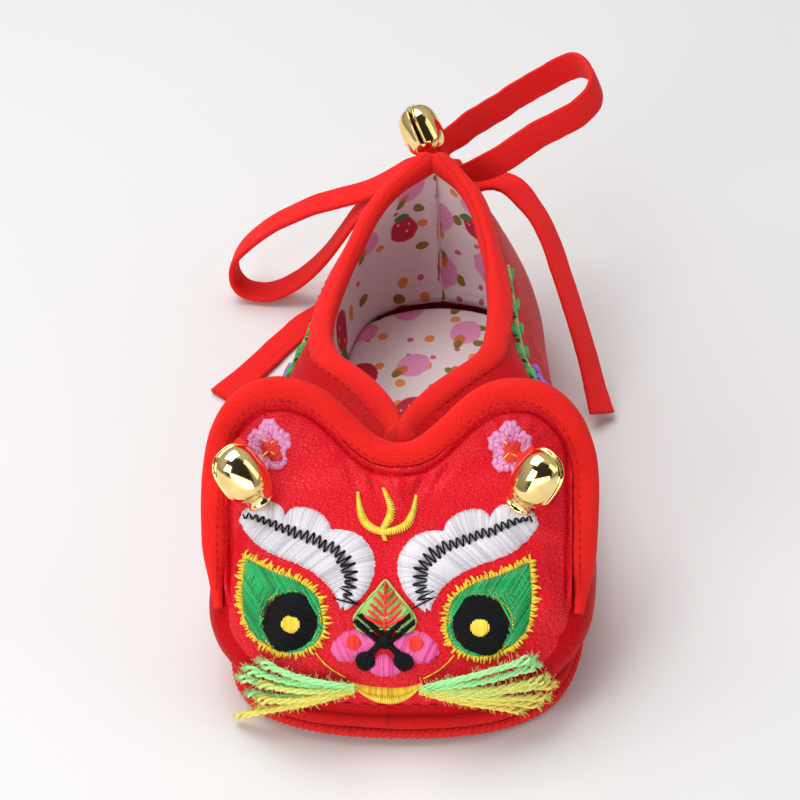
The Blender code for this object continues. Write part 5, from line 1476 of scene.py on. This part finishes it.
# Route x, y, z, then the way that the tape's width lies
TIES = {
    "tie_loop_left": [
        ((-2.6, 72.6, 38.0), (0.0, 1.0, 0.1)), ((-9.5, 73.3, 35.0), (0.0, 1.0, 0.1)),
        ((-16.0, 73.6, 30.6), (0.0, 1.0, 0.1)), ((-26.6, 74.0, 26.6), (0.0, 1.0, 0.1)),
        ((-38.0, 74.0, 21.2), (0.1, 1.0, 0.1)), ((-46.8, 73.6, 14.4), (0.1, 1.0, 0.1)),
        ((-51.0, 72.4, 7.8), (0.1, 1.0, 0.0)), ((-49.6, 71.4, 3.0), (0.1, 1.0, 0.0)),
        ((-45.1, 70.4, 1.6), (0.0, 1.0, 0.0)), ((-36.3, 70.2, 5.0), (0.0, 1.0, 0.1)),
        ((-28.9, 70.8, 11.8), (0.0, 1.0, 0.1)), ((-22.9, 71.2, 20.2), (0.0, 1.0, 0.1)),
        ((-18.2, 71.4, 26.4), (0.0, 1.0, 0.1)), ((-12.5, 71.4, 30.4), (0.0, 1.0, 0.1)),
        ((-7.0, 71.4, 32.8), (0.0, 1.0, 0.1)), ((-2.6, 71.4, 34.6), (0.0, 1.0, 0.1)),
    ],
    "tie_loop_right": [
        ((1.3, 77.4, 39.9), (-0.35, 0.16, 0.92)), ((3.6, 80.2, 40.6), (-0.35, 0.16, 0.92)),
        ((6.8, 83.9, 41.1), (-0.35, 0.16, 0.92)), ((13.8, 89.9, 42.2), (-0.35, 0.16, 0.92)),
        ((19.5, 93.7, 44.0), (-0.35, 0.16, 0.92)), ((25.8, 95.3, 47.1), (-0.35, 0.16, 0.92)),
        ((31.4, 93.1, 51.3), (-0.35, 0.16, 0.92)), ((34.7, 87.5, 53.3), (-0.35, 0.16, 0.92)),
        ((36.2, 82.1, 53.4), (-0.35, 0.16, 0.92)), ((35.0, 77.0, 52.4), (-0.35, 0.16, 0.92)),
        ((30.3, 73.1, 50.5), (-0.35, 0.16, 0.92)), ((24.5, 71.1, 48.5), (-0.35, 0.16, 0.92)),
        ((16.8, 69.6, 43.4), (-0.35, 0.16, 0.92)), ((11.0, 70.0, 39.2), (-0.35, 0.16, 0.92)),
        ((7.5, 71.0, 37.2), (-0.35, 0.16, 0.92)),
    ],
    "tie_tail_left": [
        ((0.4, 71.4, 32.1), (0.2, -1.0, 0.0)), ((-4.0, 71.2, 23.0), (0.2, -1.0, 0.0)),
        ((-12.0, 70.0, 11.5), (0.3, -0.9, 0.0)), ((-21.5, 67.0, 3.8), (0.6, -0.8, 0.0)),
        ((-31.4, 61.0, 1.1), (0.8, -0.6, 0.0)), ((-40.9, 46.5, 1.0), (0.83, -0.55, 0.0)),
        ((-49.6, 33.8, 1.0), (0.83, -0.55, 0.0)),
    ],
    "tie_tail_right": [
        ((6.2, 72.6, 31.8), (0.0, 1.0, 0.0)), ((10.0, 74.0, 32.0), (0.2, 1.0, 0.0)),
        ((15.2, 73.4, 32.4), (0.6, 0.8, 0.0)), ((19.5, 68.6, 32.0), (0.75, 0.6, -0.2)),
        ((23.8, 62.3, 30.0), (0.66, 0.6, -0.45)), ((27.8, 54.0, 25.0), (0.62, 0.6, -0.52)),
        ((31.1, 45.5, 19.4), (0.62, 0.58, -0.55)), ((34.1, 38.4, 13.0), (0.62, 0.58, -0.55)),
        ((36.4, 32.4, 6.8), (0.64, 0.5, -0.5)), ((38.2, 26.9, 3.0), (0.72, 0.4, -0.35)),
    ],
}


def make_knot():
    turn, rise_by = 2 * math.pi * np.arange(64) / 64, np.linspace(-1, 1, 42)[1:-1] * math.pi / 2
    c, s = np.cos(turn), np.sin(turn)
    level, tall = np.cos(rise_by), np.sin(rise_by)
    power = 2 / 3.4

    def bent(x):
        return np.sign(x) * np.abs(x) ** power

    grid = np.stack([
        bent(level)[:, None] * bent(c) * KNOT_SIZE[0] / 2,
        bent(level)[:, None] * bent(s) * KNOT_SIZE[1] / 2,
        np.repeat(bent(tall)[:, None], 64, axis=1) * KNOT_SIZE[2] / 2,
    ], axis=-1)
    pleats = 0.32 * np.sin(grid[..., 0] * 1.5 + 0.35 * grid[..., 2] + 0.6) * np.abs(np.sin(turn))
    grid += pleats[..., None] * unit(grid * [0.2, 1, 1])
    grid = grid * (1 + 0.05 * ripple(grid, 6.0, 41))[..., None] + KNOT_MIDDLE
    faces = grid_faces(40, 64, ring_columns=True) + end_caps(40, 64)
    knot = solid("bow_knot", grid.reshape(-1, 3), faces, TAPE_RED, grid_uv(grid))
    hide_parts("tie_knot")
    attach(knot, "root")
    return knot


def make_heel_tab():
    """A strip of the same tape down the heel, sewn on with two rows near its foot, which the knot sits against."""
    line = finer(HEEL_TAB, 60)
    section = rolled(3.4, 0.55, 20, 4.0)
    wide = np.array([1.0, 0, 0])
    thick = unit(np.cross(np.gradient(line, axis=0), wide))
    grid = line[:, None] + section[:, :1] * wide + section[:, 1:] * thick[:, None]
    faces = grid_faces(60, 20, False, True) + end_caps(60, 20)
    tab = solid("heel_tab", grid.reshape(-1, 3), faces, TAPE_RED, grid_uv(grid))
    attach(tab, "root")
    rows = [np.array([[-2.4 + HEEL_MIDDLE, *HEEL_TAB[k][1:]], [2.4 + HEEL_MIDDLE, *HEEL_TAB[k][1:]]]) + [0, 0.55, lift] for k, lift in ((0, 1.2), (0, 2.0))]
    lines, ups = zip(*(running_stitches(finer(row, 8), np.tile([0, 1.0, 0], (8, 1)), 0.9, 0.5, 0.14) for row in rows))
    stitches = strand_solid("heel_tab_stitches", np.concatenate(lines), 0.14, np.concatenate(ups), 5, STITCH_RED)
    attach(stitches, "root")


def make_ties():
    knot = make_knot()
    section = rolled(TIE_WIDE / 2, TIE_THICK / 2, 26, 4.0)
    for number, (name, route) in enumerate(TIES.items()):
        ends = [route[0], route[-1]] if "loop" in name else [route[0]]
        tucked = [((np.array(KNOT_MIDDLE) * 0.7 + np.array(place) * 0.3).tolist(), way) for place, way in ends]
        route = [tucked[0], *route, *tucked[1:]]
        places, ways = np.array(route, float)[:, 0], np.array(route, float)[:, 1]
        stations = along(places)
        at = np.linspace(0, stations[-1], 200)
        line, way = spline(stations, places, at), spline(stations, ways, at)
        ahead = unit(np.gradient(line, axis=0))
        wide = unit(way - (way * ahead).sum(axis=1)[:, None] * ahead)
        thick = np.cross(ahead, wide)
        flat = along(line)
        pinch = 1 - 0.35 * np.exp(-((np.minimum(flat, flat[-1] - flat if "loop" in name else 99) / 6.0) ** 2))
        edge = 0.14 * ripple(flat[:, None] * [1.0, 0], 9.0, 50 + number)
        grid = line[:, None] + (pinch[:, None] * section[:, 0] + edge[:, None])[..., None] * wide[:, None]
        seam = -0.16 * np.exp(-(((section[:, 0] - TIE_WIDE * 0.36) / 0.5) ** 2)) * np.sign(section[:, 1])
        grid += (section[:, 1] + seam)[None, :, None] * thick[:, None]
        count, sides_by = grid.shape[:2]
        faces = grid_faces(count, sides_by, False, True)
        faces += end_caps(count, sides_by)
        tape = solid(name + "_tape", grid.reshape(-1, 3), faces, TAPE_RED, grid_uv(grid))
        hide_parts(name)
        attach(tape, "root")


TAPE_RED = red_cotton("red cotton tape", (0.76, 0.012, 0.012), (0.90, 0.022, 0.020), 0.38)
make_heel_tab()
make_ties()
